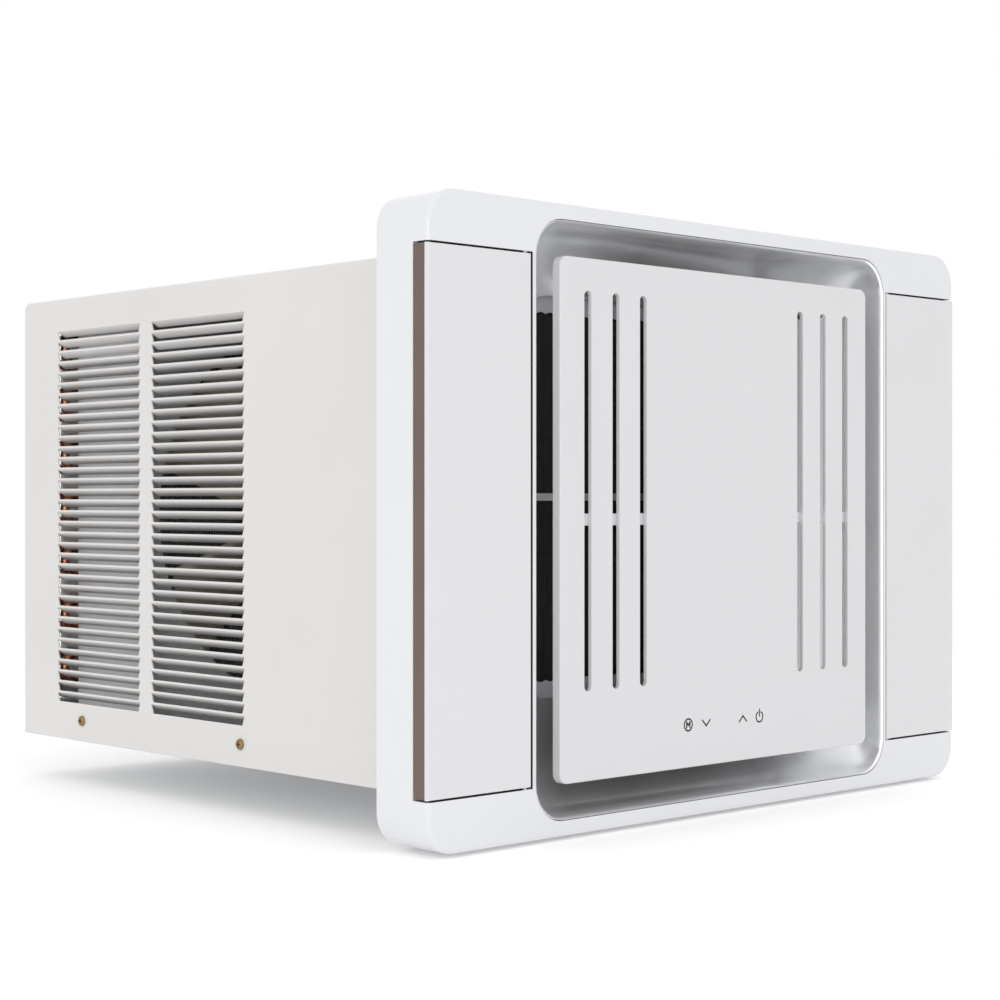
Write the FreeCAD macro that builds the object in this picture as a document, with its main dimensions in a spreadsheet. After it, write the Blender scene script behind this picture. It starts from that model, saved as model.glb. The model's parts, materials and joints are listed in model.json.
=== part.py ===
"""Window air conditioner: louvred sheet-metal cabinet, moulded front frame with two
side outlet doors, and a slotted intake panel that floats in a silver bowl.

X runs to the right seen from the front, Y from front to back, Z up.
The origin is the middle of the base pan's underside, which rests on the sill.
Lengths are millimetres and angles are degrees.
"""
import FreeCAD, Part
import math
import os
import Sketcher
from FreeCAD import Placement, Rotation, Vector
from types import SimpleNamespace

SIZES = dict(
    # cabinet and base pan
    cabinet_wide=500, cabinet_tall=348.5, cabinet_deep=479, sheet_wall=1, bend_round=6,
    pan_tall=26, pan_inset=1, sheet_gap=0.3, anchor_x=440, anchor_y=140, anchor_radius=4,
    side_foot=0.5, pan_screw_lift=1.5, pan_screw_front=4.2, pan_screw_back=85.6,
    # front frame: how far it reaches past the cabinet, and its own sizes
    side_margin=30, head_rise=34.5, sill_drop=31, frame_room=9, frame_corner=23,
    frame_wall=3, frame_band=10.5, front_round=3, back_thick=2, back_lap=3, back_corner=2,
    fixing_inset=18, fixing_radius=1.8, fixing_deep=10, fixing_head=3.5, fixing_head_tall=1.6,
    gland_inset_x=48, gland_inset_y=16,
    # rear guard
    guard_wire=1.5, guard_upright=1.2, guard_plate=1.2, guard_rim=12, guard_inset=4,
    guard_cross=2.2, guard_clear=2, guard_seat=0.5,
    # side louvres
    bank_wide=117, bank_gap=14.4, bend_lap=0.3, bank_start=180.6, bank_foot=29.5, bank_head=24,
    louvre_pitch=8.4, louvre_strip=1.5, louvre_drop=4.3, louvre_lean=5.2, louvre_mitre=2.6,
    # bowl from the recess's lip to the intake
    recess_corner=25, bowl_wall=2, bowl_deep=40, bowl_pull_side=28.5, bowl_pull_head=45.5,
    bowl_pull_foot=75.5, intake_corner=10, bowl_flange_inset=30,
    # floating panel
    panel_gap_side=22.5, panel_gap_head=23.5, panel_deep=7, panel_thick=3, panel_rim=2.5,
    panel_corner=7, panel_round=1, slit_wide=6.5, slit_head=21.7, slit_foot=59.7, slit_pitch=27,
    slit_inset=26,
    bridge_tall=8, bridge_deep=3, bridge_lap=0.4, post_radius=5, peg_radius=1.5, peg_long=14,
    peg_reach=16, post_inset_x=40, post_inset_z=18, display_foot=18, display_wide=110,
    display_tall=24, display_deep=9, display_wall=1.5, board_thick=1.6,
    # filter
    filter_lap=2, filter_lap_head=5, filter_thick=4, filter_rail=8, filter_bar=5, mesh_thick=0.8,
    filter_gap=1, filter_play=0.5, tab_wide=60,
    # outlet doors, trims and vanes
    door_wide=88.5, door_margin=35.25, door_thick=3.2, door_round=0.8, door_gap=1.5,
    door_slot=1.2, door_strip=2.5,
    notch_deep=14.3, trim_thick=2, trim_wrap=0.4, hinge_inset=3.5, hinge_behind=3,
    hinge_radius=1.6, barrel_gap=0.2, door_rib_near=8, door_rib_far=6, door_rib_inset=6,
    door_rib_tall=3, door_rib_room=4, outlet_inset=7, outlet_wide=70, outlet_rim=12, outlet_step=40,
    throat_margin=4, vane_count=3, vane_pitch=22, vane_chord=18, vane_thick=1.6,
    vane_pin=1.5, vane_back=13, vane_gap=0.5, vane_lift=8, crank_throw=6, crank_wide=4,
    crank_thick=3, crank_lift=5, peg_pin=1.2, link_gap=1, link_wide=5, link_thick=3, link_end=3,
    carrier_wall=2, running_gap=0.1,
    door_motor_reach=14, door_motor_deep=20, door_motor_radius=13, door_motor_tall=17,
    vane_motor_reach=24, vane_motor_deep=30, vane_motor_radius=12, vane_motor_tall=15,
    # cold side
    coil_gap=6, coil_foot=34, evaporator_head=18.5, evaporator_gap=33.5, evaporator_deep=36,
    tube_radius=3.5, tube_pitch=21, row_pitch=18, plate_thick=1.2, plate_lap=1, plate_rise=2,
    tube_reach=4, tray_reach=22, tray_margin=3, tray_tall=26, tray_wall=1.5, tray_floor=2,
    duct_gap=7, duct_deep=84, duct_wall=3, blower_radius=96, blower_deep=62, blower_gap=10,
    blower_plate=2, blower_hub=11, blower_hub_long=24, blower_reach=17, blower_rim=1.5,
    blower_ring=14, blower_ring_thick=2.5, blower_blades=40, blade_lean=0.17,
    blade_thick=0.018, mouth_radius=84, lip_long=8, bulkhead_gap=4, bulkhead_thick=2,
    bulkhead_head=1, shaft_hole=12, line_slot=12, line_slot_drop=8,
    # fan side
    fan_x=-63, fan_foot=28, fan_head=20.5, shaft_radius=4, shaft_front=4, shaft_back=12,
    motor_radius=48, motor_deep=70, motor_gap=40, boss_radius=14, boss_long=8,
    saddle_wide=84, saddle_deep=50, saddle_wall=3, saddle_drop=26.4, saddle_room=8,
    shroud_deep=90, shroud_wall=1.6, shroud_head=2, shroud_back=1.5, collar_wall=2,
    collar_deep=26, fan_gap=7, fan_blades=5, fan_deep=44, fan_inset=4, fan_hub=30,
    fan_ring=3, fan_ring_deep=14, fan_sheet=2.4,
    condenser_deep=40, condenser_side=24, condenser_head=8.5, condenser_back=18,
    # refrigeration
    compressor_side=92, compressor_gap=100, compressor_radius=56, compressor_room=141.5,
    compressor_round=20, foot_lift=16, foot_reach=62, foot_radius=14, foot_thick=3,
    foot_middle=50, grommet_wide=11, grommet_cap=9, grommet_waist=6, stud_radius=3,
    stud_tall=32, nut_radius=6, nut_tall=5, cap_radius=20, cap_tall=18, cap_round=4,
    tank_radius=23, tank_foot=36, tank_tall=140, tank_round=14, tank_gap=6,
    strap_wide=16, strap_tall=3, strap_lift=64,
    line_radius=3.5, line_bend=7, line_drop=4.4, line_side=10, riser_gap=8.5,
    discharge_reach=28, discharge_rise=22, shroud_left=13, shroud_right=38,
    # controls
    control_side=44, control_wide=110, control_tall=84, control_deep=120, control_head=23.5,
    control_wall=1.5, control_board_lift=12, control_board_end=10, capacitor_radius=9,
    capacitor_tall=34, capacitor_pitch=22, sink_wide=70, sink_deep=36, sink_tall=22,
    # fittings
    screw_radius=4, screw_long=8, screw_head=2, grommet_radius=9, grommet_rim=2.5,
    grommet_flange=2, cord_radius=4.2, spout_radius=8, spout_wall=2, spout_neck=0.4,
    spout_rim=5, spout_flange=2, spout_drop=12, spout_step=1, spout_inset_x=18,
    spout_inset_y=74,
)

doc = FreeCAD.newDocument("window_air_conditioner")
NODES = []


class Size:
    """A size known both as an expression on the sheet and as a number."""

    def __init__(self, text, number):
        self.text = text
        self.number = float(number)

    def __float__(self):
        return self.number

    def __add__(self, other):
        return Size(f"({self.text} + {words(other)})", self.number + float(other))

    def __sub__(self, other):
        return Size(f"({self.text} - {words(other)})", self.number - float(other))

    def __mul__(self, other):
        return Size(f"({self.text} * {words(other)})", self.number * float(other))

    def __truediv__(self, other):
        return Size(f"({self.text} / {words(other)})", self.number / float(other))

    def __rsub__(self, other):
        return Size(f"({words(other)} - {self.text})", float(other) - self.number)

    def __neg__(self):
        return Size(f"(-1 * {self.text})", -self.number)

    __radd__ = __add__
    __rmul__ = __mul__


def words(amount):
    """The text of a size or a plain number inside an expression."""
    if isinstance(amount, Size):
        return amount.text
    return f"({amount})" if amount < 0 else f"{amount}"


def fill_sheet():
    """Put every driving dimension in the sheet and return them as sizes."""
    sheet = doc.addObject("Spreadsheet::Sheet", "Sizes")
    for row, (name, amount) in enumerate(SIZES.items(), start=1):
        sheet.set(f"A{row}", name)
        sheet.set(f"B{row}", str(amount))
        sheet.setAlias(f"B{row}", name)
    doc.recompute()
    named = {name: Size(f"Sizes.{name}", sheet.get(name)) for name in SIZES}
    return SimpleNamespace(**named)


s = fill_sheet()
frame_wide = s.cabinet_wide + 2 * s.side_margin
frame_tall = s.cabinet_tall + s.head_rise + s.sill_drop
frame_z = frame_tall / 2 - s.sill_drop
frame_deep = s.bowl_deep + s.frame_room
pan_deep = s.cabinet_deep - 2 * s.pan_inset
front_y = -(frame_deep + s.pan_inset + pan_deep / 2)
cabinet_y = front_y + frame_deep
cabinet_back = cabinet_y + s.cabinet_deep
inner_x = s.cabinet_wide / 2 - s.sheet_wall
pan_x = inner_x - s.sheet_gap
pan_floor = s.sheet_wall
collar_end = frame_deep - s.back_thick - 2 * s.sheet_gap
gland_x = frame_wide / 2 - s.gland_inset_x
gland_y = cabinet_y - s.gland_inset_y

door_tall = frame_tall - 2 * s.door_margin
door_foot = frame_z - door_tall / 2
door_head = frame_z + door_tall / 2
door_x = frame_wide / 2 - s.door_wide
hinge_x = door_x + s.hinge_inset
outlet_x = door_x + s.outlet_inset
throat_x = s.cabinet_wide / 2 - s.throat_margin
vane_foot = door_foot + s.outlet_rim + s.carrier_wall + s.sheet_gap
vane_head = door_head - s.outlet_rim - s.carrier_wall - s.sheet_gap
vane_y = front_y + s.notch_deep + s.vane_back

recess_wide = 2 * (door_x - s.door_gap - s.door_strip)
recess_tall = frame_tall - 2 * s.frame_band
intake_wide = recess_wide - 2 * s.bowl_pull_side
intake_tall = recess_tall - s.bowl_pull_head - s.bowl_pull_foot
intake_z = frame_z + (s.bowl_pull_foot - s.bowl_pull_head) / 2
panel_wide = recess_wide - 2 * s.panel_gap_side
panel_tall = recess_tall - 2 * s.panel_gap_head
slit_tall = panel_tall - s.slit_head - s.slit_foot
slit_z = frame_z + (s.slit_foot - s.slit_head) / 2
filter_wide = intake_wide + 2 * s.filter_lap
filter_tall = intake_tall + 2 * s.filter_lap_head
filter_y = front_y + s.bowl_deep + s.bowl_wall + s.sheet_gap

wing_x = outlet_x - s.duct_wall
evaporator_y = cabinet_y + s.coil_gap
evaporator_wide = 2 * (wing_x - s.evaporator_gap)
evaporator_tall = s.cabinet_tall - s.coil_foot - s.evaporator_head
duct_y = evaporator_y + s.evaporator_deep + s.duct_gap
duct_x = pan_x - s.sheet_wall - s.sheet_gap
duct_head = door_head - s.outlet_rim + s.duct_wall
duct_foot = door_foot + s.outlet_rim - s.duct_wall
bulkhead_y = duct_y + s.duct_deep + s.bulkhead_gap
motor_y = bulkhead_y + s.motor_gap
condenser_y = cabinet_back - s.condenser_back - s.condenser_deep
condenser_wide = s.cabinet_wide - 2 * s.condenser_side
condenser_tall = s.cabinet_tall - s.coil_foot - s.condenser_head
shroud_y = condenser_y - s.shroud_deep
fan_radius = (s.cabinet_tall - s.fan_foot - s.fan_head) / 2
fan_z = s.fan_foot + fan_radius
compressor_x = s.cabinet_wide / 2 - s.compressor_side
compressor_y = bulkhead_y + s.compressor_gap
tank_x = compressor_x - s.compressor_radius - s.tank_radius - s.tank_gap
suction_x = tank_x
liquid_x = s.cabinet_wide / 2 - s.line_side
line_z = s.cabinet_tall - s.sheet_wall - s.line_drop
feet_z = pan_floor + s.foot_lift
compressor_tall = s.cabinet_tall - feet_z - s.compressor_room
control_x = s.cabinet_wide / 2 - s.control_side - s.control_wide
spout_x = pan_x - s.spout_inset_x
spout_y = pan_deep / 2 - s.spout_inset_y
guard_rows, guard_columns = 12, 8
louvre_count = int(float((s.cabinet_tall - s.bank_foot - s.bank_head) / s.louvre_pitch))


# ---------------------------------------------------------------- general helpers


def bind(thing, **sizes):
    """Bind properties of an object to sizes."""
    for name, amount in sizes.items():
        if isinstance(amount, Size):
            thing.setExpression(name, amount.text)
        else:
            setattr(thing, name, amount)


def place(thing, corner, turn=None):
    """Turn an object and bind its place."""
    thing.Placement = Placement(Vector(*[float(value) for value in corner]), turn or Rotation())
    for letter, amount in zip("xyz", corner):
        if isinstance(amount, Size):
            thing.setExpression(f"Placement.Base.{letter}", amount.text)
    return thing


def box(name, corner, size):
    """A block from its lowest corner and its three sides."""
    block = doc.addObject("Part::Box", name)
    bind(block, Length=size[0], Width=size[1], Height=size[2])
    return place(block, corner)


def wide_box(name, middle_x, wide, y, deep, z, tall):
    """A block centred across on a place in X."""
    return box(name, (middle_x - wide / 2, y, z), (wide, deep, tall))


AXIS_TURNS = {
    "+Z": Rotation(),
    "+Y": Rotation(Vector(1, 0, 0), -90),
    "-Y": Rotation(Vector(1, 0, 0), 90),
    "+X": Rotation(Vector(0, 1, 0), 90),
    "-X": Rotation(Vector(0, 1, 0), -90),
}


def rod(name, start, axis, radius, length):
    """A round bar from its start along an axis."""
    bar = doc.addObject("Part::Cylinder", name)
    bind(bar, Radius=radius, Height=length)
    return place(bar, start, AXIS_TURNS[axis])


def fuse(name, parts):
    """Several shapes as one."""
    joined = doc.addObject("Part::MultiFuse", name)
    joined.Shapes = parts
    return joined


def cut(name, base, *tools):
    """A shape less one or more tools."""
    result = doc.addObject("Part::Cut", name)
    result.Base = base
    result.Tool = tools[0] if len(tools) == 1 else fuse(f"{name}_tools", list(tools))
    return result


def group(name, parts):
    """Separate solids that share one node."""
    bundle = doc.addObject("Part::Compound", name)
    bundle.Links = parts
    return bundle


def node(label, thing):
    """Name a finished sub-part."""
    thing.Label = label
    NODES.append(thing)
    return thing


def shape_node(label, shape):
    """A sub-part whose shape is worked out by Part's own functions."""
    thing = doc.addObject("Part::Feature", label + "_shape")
    thing.Shape = shape
    thing.Placement = Placement()
    return node(label, thing)


# ---------------------------------------------------------------- sketch helpers

NORMAL_SIGN = {"XY_Plane": 1, "XZ_Plane": -1, "YZ_Plane": 1}


def new_body(name):
    """An empty body."""
    return doc.addObject("PartDesign::Body", name)


def new_sketch(body, plane, level=0):
    """A sketch on an origin plane, moved along the plane's own axis to a level."""
    sketch = body.newObject("Sketcher::SketchObject", "outline")
    face = next(item for item in body.Origin.OriginFeatures if item.Role == plane)
    sketch.AttachmentSupport = [(face, "")]
    sketch.MapMode = "FlatFace"
    offset = level * NORMAL_SIGN[plane]
    sketch.AttachmentOffset = Placement(Vector(0, 0, float(offset)), Rotation())
    if isinstance(offset, Size):
        sketch.setExpression("AttachmentOffset.Base.z", offset.text)
    return sketch


def fix_point(sketch, shape, spot, x, y):
    """Hold a point of a sketch at a place measured from its origin."""
    for kind, axis, amount in (("DistanceX", -2, x), ("DistanceY", -1, y)):
        if abs(float(amount)) < 1e-6:
            sketch.addConstraint(Sketcher.Constraint("PointOnObject", shape, spot, axis))
            continue
        index = sketch.addConstraint(
            Sketcher.Constraint(kind, -1, 1, shape, spot, float(amount)))
        if isinstance(amount, Size):
            sketch.setExpression(f"Constraints[{index}]", amount.text)


def polygon(sketch, points):
    """A closed outline of straight edges."""
    spots = [Vector(float(x), float(y), 0) for x, y in points]
    first = sketch.GeometryCount
    for start, end in zip(spots, spots[1:] + spots[:1]):
        sketch.addGeometry(Part.LineSegment(start, end), False)
    for step, (x, y) in enumerate(points):
        after = first + (step - 1) % len(points)
        sketch.addConstraint(Sketcher.Constraint("Coincident", after, 2, first + step, 1))
        fix_point(sketch, first + step, 1, x, y)


def rectangle(sketch, low_x, low_y, high_x, high_y):
    """A rectangle from its lowest and highest corners."""
    polygon(sketch, [(low_x, low_y), (high_x, low_y), (high_x, high_y), (low_x, high_y)])


def circle(sketch, x, y, radius):
    """A circle."""
    ring = Part.Circle(Vector(float(x), float(y), 0), Vector(0, 0, 1), float(radius))
    index = sketch.addGeometry(ring, False)
    fix_point(sketch, index, 3, x, y)
    held = sketch.addConstraint(Sketcher.Constraint("Radius", index, float(radius)))
    if isinstance(radius, Size):
        sketch.setExpression(f"Constraints[{held}]", radius.text)


def rounded(sketch, x, y, wide, tall, radius):
    """A rectangle with round corners, centred on a place."""
    far_x, far_y = wide / 2 - radius, tall / 2 - radius
    middles = [(x + far_x, y - far_y), (x + far_x, y + far_y),
               (x - far_x, y + far_y), (x - far_x, y - far_y)]
    first = sketch.GeometryCount
    for quarter, (mid_x, mid_y) in enumerate(middles):
        ring = Part.Circle(Vector(float(mid_x), float(mid_y), 0), Vector(0, 0, 1), float(radius))
        start = (quarter - 1) * math.pi / 2
        sketch.addGeometry(Part.ArcOfCircle(ring, start, start + math.pi / 2), False)
    for quarter in range(4):
        start = sketch.getPoint(first + quarter, 2)
        end = sketch.getPoint(first + (quarter + 1) % 4, 1)
        sketch.addGeometry(Part.LineSegment(start, end), False)
    for quarter, (mid_x, mid_y) in enumerate(middles):
        arc, line, following = first + quarter, first + 4 + quarter, first + (quarter + 1) % 4
        fix_point(sketch, arc, 3, mid_x, mid_y)
        held = sketch.addConstraint(Sketcher.Constraint("Radius", arc, float(radius)))
        if isinstance(radius, Size):
            sketch.setExpression(f"Constraints[{held}]", radius.text)
        sketch.addConstraint(Sketcher.Constraint("Tangent", arc, 2, line, 1))
        sketch.addConstraint(Sketcher.Constraint("Tangent", line, 2, following, 1))


def extrude(body, kind, sketch, length, plane, upwards=True):
    """Pad or pocket a sketch along its plane's axis, towards plus or towards minus."""
    feature = body.newObject(f"PartDesign::{kind}", kind.lower())
    feature.Profile = sketch
    bind(feature, Length=length)
    natural = NORMAL_SIGN[plane] if kind == "Pad" else -NORMAL_SIGN[plane]
    feature.Reversed = natural != (1 if upwards else -1)
    body.Tip = feature
    return feature


def pad(body, sketch, length, plane, upwards=True):
    """Add material."""
    return extrude(body, "Pad", sketch, length, plane, upwards)


def pocket(body, sketch, length, plane, upwards=True):
    """Remove material."""
    return extrude(body, "Pocket", sketch, length, plane, upwards)


def round_edges(body, feature, radius, chosen):
    """Fillet the edges of a feature that a test picks."""
    doc.recompute()
    names = [f"Edge{index}" for index, edge in enumerate(feature.Shape.Edges, start=1)
             if chosen(edge)]
    fillet = body.newObject("PartDesign::Fillet", "fillet")
    fillet.Base = (feature, names)
    bind(fillet, Radius=radius)
    body.Tip = fillet
    return fillet


def at_level(edge, letter, level):
    """Whether an edge lies flat at a level of one axis."""
    low = getattr(edge.BoundBox, letter + "Min")
    high = getattr(edge.BoundBox, letter + "Max")
    return abs(low - float(level)) < 1e-4 and abs(high - float(level)) < 1e-4


def slab(body, x, z, wide, tall, radius, y, deep):
    """Pad an upright plate with round corners, from its front face backwards."""
    sketch = new_sketch(body, "XZ_Plane", y)
    rounded(sketch, x, z, wide, tall, radius)
    return pad(body, sketch, deep, "XZ_Plane")


def sink(body, x, z, wide, tall, radius, y, deep):
    """Cut an upright opening with round corners, from a level backwards."""
    sketch = new_sketch(body, "XZ_Plane", y)
    rounded(sketch, x, z, wide, tall, radius)
    return pocket(body, sketch, deep, "XZ_Plane")


def block(body, low, high):
    """Pad a block between two corners."""
    sketch = new_sketch(body, "XY_Plane", low[2])
    rectangle(sketch, low[0], low[1], high[0], high[1])
    return pad(body, sketch, high[2] - low[2], "XY_Plane")


def hollow(body, low, high):
    """Cut a block between two corners."""
    sketch = new_sketch(body, "XY_Plane", low[2])
    rectangle(sketch, low[0], low[1], high[0], high[1])
    return pocket(body, sketch, high[2] - low[2], "XY_Plane")


def linear_pattern(body, features, axis, length, count):
    """Repeat features along an origin axis."""
    pattern = body.newObject("PartDesign::LinearPattern", "row")
    pattern.Originals = features
    line = next(item for item in body.Origin.OriginFeatures if item.Role == axis)
    pattern.Direction = (line, [""])
    bind(pattern, Length=length, Occurrences=count)
    body.Tip = pattern
    return pattern


# ---------------------------------------------------------------- cabinet and base


def bank_starts():
    """Where the two louvre banks begin, from front to back."""
    first = cabinet_y + s.bank_start
    return first, first + s.bank_wide + s.bank_gap


def cabinet_shell():
    """The wrapper: a top and two sides of sheet steel with louvre banks."""
    body = new_body("cabinet")
    drop = s.bend_round * 3
    tall = s.cabinet_tall + drop
    middle = s.cabinet_tall / 2 - drop / 2
    outer_x = s.cabinet_wide / 2
    slab(body, 0, middle, s.cabinet_wide, tall, s.bend_round, cabinet_y, s.cabinet_deep)
    sink(body, 0, middle, s.cabinet_wide - 2 * s.sheet_wall, tall - 2 * s.sheet_wall,
         s.bend_round - s.sheet_wall, cabinet_y, s.cabinet_deep)
    hollow(body, (-outer_x, cabinet_y, -drop),
           (outer_x, cabinet_y + s.cabinet_deep, s.side_foot))
    cuts = [louvre_opening(body, start) for start in bank_starts()]
    rows = (louvre_count - 1) * s.louvre_pitch
    linear_pattern(body, cuts, "Z_Axis", rows, louvre_count)
    blades = [louvre(body, start) for start in bank_starts()]
    linear_pattern(body, blades, "Z_Axis", rows, louvre_count)
    mitre_louvres(body, louvre_count * s.louvre_pitch)
    screw_holes = new_sketch(body, "YZ_Plane", -outer_x)
    for y, z in cabinet_screw_places():
        circle(screw_holes, y, z, s.screw_radius / 2 + s.running_gap)
    pocket(body, screw_holes, s.cabinet_wide, "YZ_Plane")
    return node("cabinet_shell", body)


def louvre_opening(body, start):
    """The lowest opening of a bank through both sides, narrower at its foot."""
    sketch = new_sketch(body, "YZ_Plane", -s.cabinet_wide / 2)
    foot, top = s.bank_foot, s.bank_foot + s.louvre_pitch - s.louvre_strip
    end, slope = start + s.bank_wide, s.louvre_mitre
    polygon(sketch, [(start + slope, foot), (end - slope, foot), (end, top), (start, top)])
    return pocket(body, sketch, s.cabinet_wide, "YZ_Plane")


def louvre(body, start):
    """The lowest louvre of a bank on both sides: a tab that leans in from its opening's top."""
    sketch = new_sketch(body, "XZ_Plane", start)
    bend = s.bank_foot + s.louvre_pitch - s.louvre_strip
    foot = bend - s.louvre_drop
    for side in (-1, 1):
        outer, inner = s.cabinet_wide / 2 * side, (s.cabinet_wide / 2 - s.sheet_wall) * side
        lean = s.louvre_lean * side
        polygon(sketch, [(outer, bend + s.bend_lap), (outer, bend), (outer - lean, foot),
                         (inner - lean, foot), (inner, bend), (inner, bend + s.bend_lap)])
    return pad(body, sketch, s.bank_wide, "XZ_Plane")


def mitre_louvres(body, bank_tall):
    """Slant both ends of every blade inside the wall."""
    sketch = new_sketch(body, "XY_Plane", s.bank_foot)
    inner = s.cabinet_wide / 2 - s.sheet_wall
    deepest = inner - s.louvre_lean - s.sheet_wall
    for start in bank_starts():
        for end, inward in ((start, 1), (start + s.bank_wide, -1)):
            for side in (-1, 1):
                polygon(sketch, [(inner * side, end), (deepest * side, end),
                                 (deepest * side, end + s.louvre_mitre * inward)])
    pocket(body, sketch, bank_tall, "XY_Plane")


def cabinet_screw_places():
    """Depth and height of the screws on each side."""
    height = s.bank_foot / 2 + s.pan_screw_lift
    return [(cabinet_y + s.bank_start + s.pan_screw_front, height),
            (cabinet_back - s.pan_screw_back, height)]


def cabinet_screws():
    """Side screws that hold the wrapper to the base pan: a hexagon head and a shank each."""
    screws = []
    for side, axis in ((-1, "+X"), (1, "-X")):
        for y, z in cabinet_screw_places():
            seat = s.cabinet_wide / 2 * side
            head = doc.addObject("Part::Prism", "head")
            bind(head, Polygon=6, Circumradius=s.screw_radius, Height=s.screw_head)
            place(head, (seat, y, z), AXIS_TURNS["+X" if side > 0 else "-X"])
            shank = rod("shank", (seat, y, z), axis, s.screw_radius / 2, s.screw_long)
            screws.append(fuse("screw", [head, shank]))
    return node("cabinet_screws", group("screws", screws))


def base_pan():
    """A shallow steel tray with upturned walls, anchor holes and a drain hole."""
    body = new_body("pan")
    half = pan_deep / 2
    block(body, (-pan_x, -half, 0), (pan_x, half, s.pan_tall))
    wall = s.sheet_wall
    hollow(body, (wall - pan_x, wall - half, pan_floor), (pan_x - wall, half - wall, s.pan_tall))
    floor_holes = new_sketch(body, "XY_Plane", 0)
    for side in (-1, 1):
        for end in (-1, 1):
            circle(floor_holes, s.anchor_x / 2 * side, s.anchor_y / 2 * end, s.anchor_radius)
    circle(floor_holes, spout_x, spout_y, s.spout_radius + s.running_gap)
    pocket(body, floor_holes, pan_floor, "XY_Plane")
    side_holes = new_sketch(body, "YZ_Plane", -pan_x)
    for y, z in cabinet_screw_places():
        circle(side_holes, y, z, s.screw_radius / 2 + s.running_gap)
    pocket(body, side_holes, 2 * pan_x, "YZ_Plane")
    return node("base_pan", body)


def drain_spout():
    """A plastic spout dropped through the pan: a flange, a slimmer neck and a hose tube."""
    flange = rod("flange", (spout_x, spout_y, pan_floor), "+Z", s.spout_radius + s.spout_rim,
                 s.spout_flange)
    neck = rod("neck", (spout_x, spout_y, -s.spout_step), "+Z", s.spout_radius - s.spout_neck,
               s.spout_step + pan_floor + s.spout_flange)
    tube = rod("tube", (spout_x, spout_y, -s.spout_drop), "+Z", s.spout_radius,
               s.spout_drop - s.spout_step)
    bore = rod("bore", (spout_x, spout_y, -s.spout_drop - 1), "+Z",
               s.spout_radius - s.spout_wall, s.spout_drop + pan_floor + s.spout_flange + 2)
    return node("drain_spout", cut("spout", fuse("spout_body", [flange, neck, tube]), bore))


def rear_guard():
    """A welded wire guard over the coil: a plate rim with upright and level wires."""
    back = cabinet_back - s.guard_inset
    low, high = s.pan_tall + s.guard_clear, s.cabinet_tall - s.sheet_wall - s.guard_clear
    half = inner_x - s.guard_clear
    start = back - s.guard_wire - s.guard_seat
    rim = cut("rim", box("rim_plate", (-half, start, low), (2 * half, s.guard_plate, high - low)),
              box("rim_hole", (-half + s.guard_rim, start - 1, low + s.guard_rim),
                  (2 * (half - s.guard_rim), s.guard_plate + 2,
                   high - low - 2 * s.guard_rim)))
    bars = [rim]
    hold = s.guard_rim / 3
    for step in range(1, guard_rows):
        z = low + (high - low) * step / guard_rows
        bars.append(rod("level_wire", (-half + hold, back, z), "+X", s.guard_wire,
                        2 * (half - hold)))
    for step in range(1, guard_columns):
        x = -half + 2 * half * step / guard_columns
        bars.append(rod("upright_wire", (x, back + s.guard_cross, low + hold), "+Z",
                        s.guard_upright, high - low - 2 * hold))
    return node("rear_guard", fuse("guard", bars))


# ---------------------------------------------------------------- front frame


def front_frame():
    """The moulded bezel: a hollow surround with door notches and outlet passages."""
    body = new_body("frame")
    wall = s.frame_wall
    outer = slab(body, 0, frame_z, frame_wide, frame_tall, s.frame_corner, front_y,
                 frame_deep)
    round_edges(body, outer, s.front_round, lambda edge: at_level(edge, "Y", front_y))
    sink(body, 0, frame_z, frame_wide - 2 * wall, frame_tall - 2 * wall,
         s.frame_corner - wall, front_y + wall, frame_deep)
    collar = recess_wide + 2 * wall
    slab(body, 0, frame_z, collar, recess_tall + 2 * wall, s.recess_corner + wall,
         front_y + wall / 2, collar_end - wall / 2)
    for side in (-1, 1):
        rims = sorted(((recess_wide / 2 + wall / 2) * side, (frame_wide / 2 - wall / 2) * side),
                      key=float)
        block(body, (rims[0], front_y + wall / 2, door_foot - wall),
              (rims[1], front_y + collar_end, door_head + wall))
    sink(body, 0, frame_z, recess_wide, recess_tall, s.recess_corner, front_y - 1,
         frame_deep + 2)
    for side in (-1, 1):
        notch = sorted(((door_x - s.door_gap) * side, (frame_wide / 2 + 1) * side), key=float)
        hollow(body, (notch[0], front_y - 1, door_foot - s.door_slot),
               (notch[1], front_y + s.notch_deep, door_head + s.door_slot))
        mouth = sorted((outlet_x * side, (outlet_x + s.outlet_wide) * side), key=float)
        hollow(body, (mouth[0], front_y + s.notch_deep - 1, door_foot + s.outlet_rim),
               (mouth[1], front_y + s.outlet_step, door_head - s.outlet_rim))
        throat = sorted((outlet_x * side, throat_x * side), key=float)
        hollow(body, (throat[0], front_y + s.outlet_step - 1, door_foot + s.outlet_rim),
               (throat[1], front_y + frame_deep + 1, door_head - s.outlet_rim))
    frame_bores(body)
    return node("front_frame", body)


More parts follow.
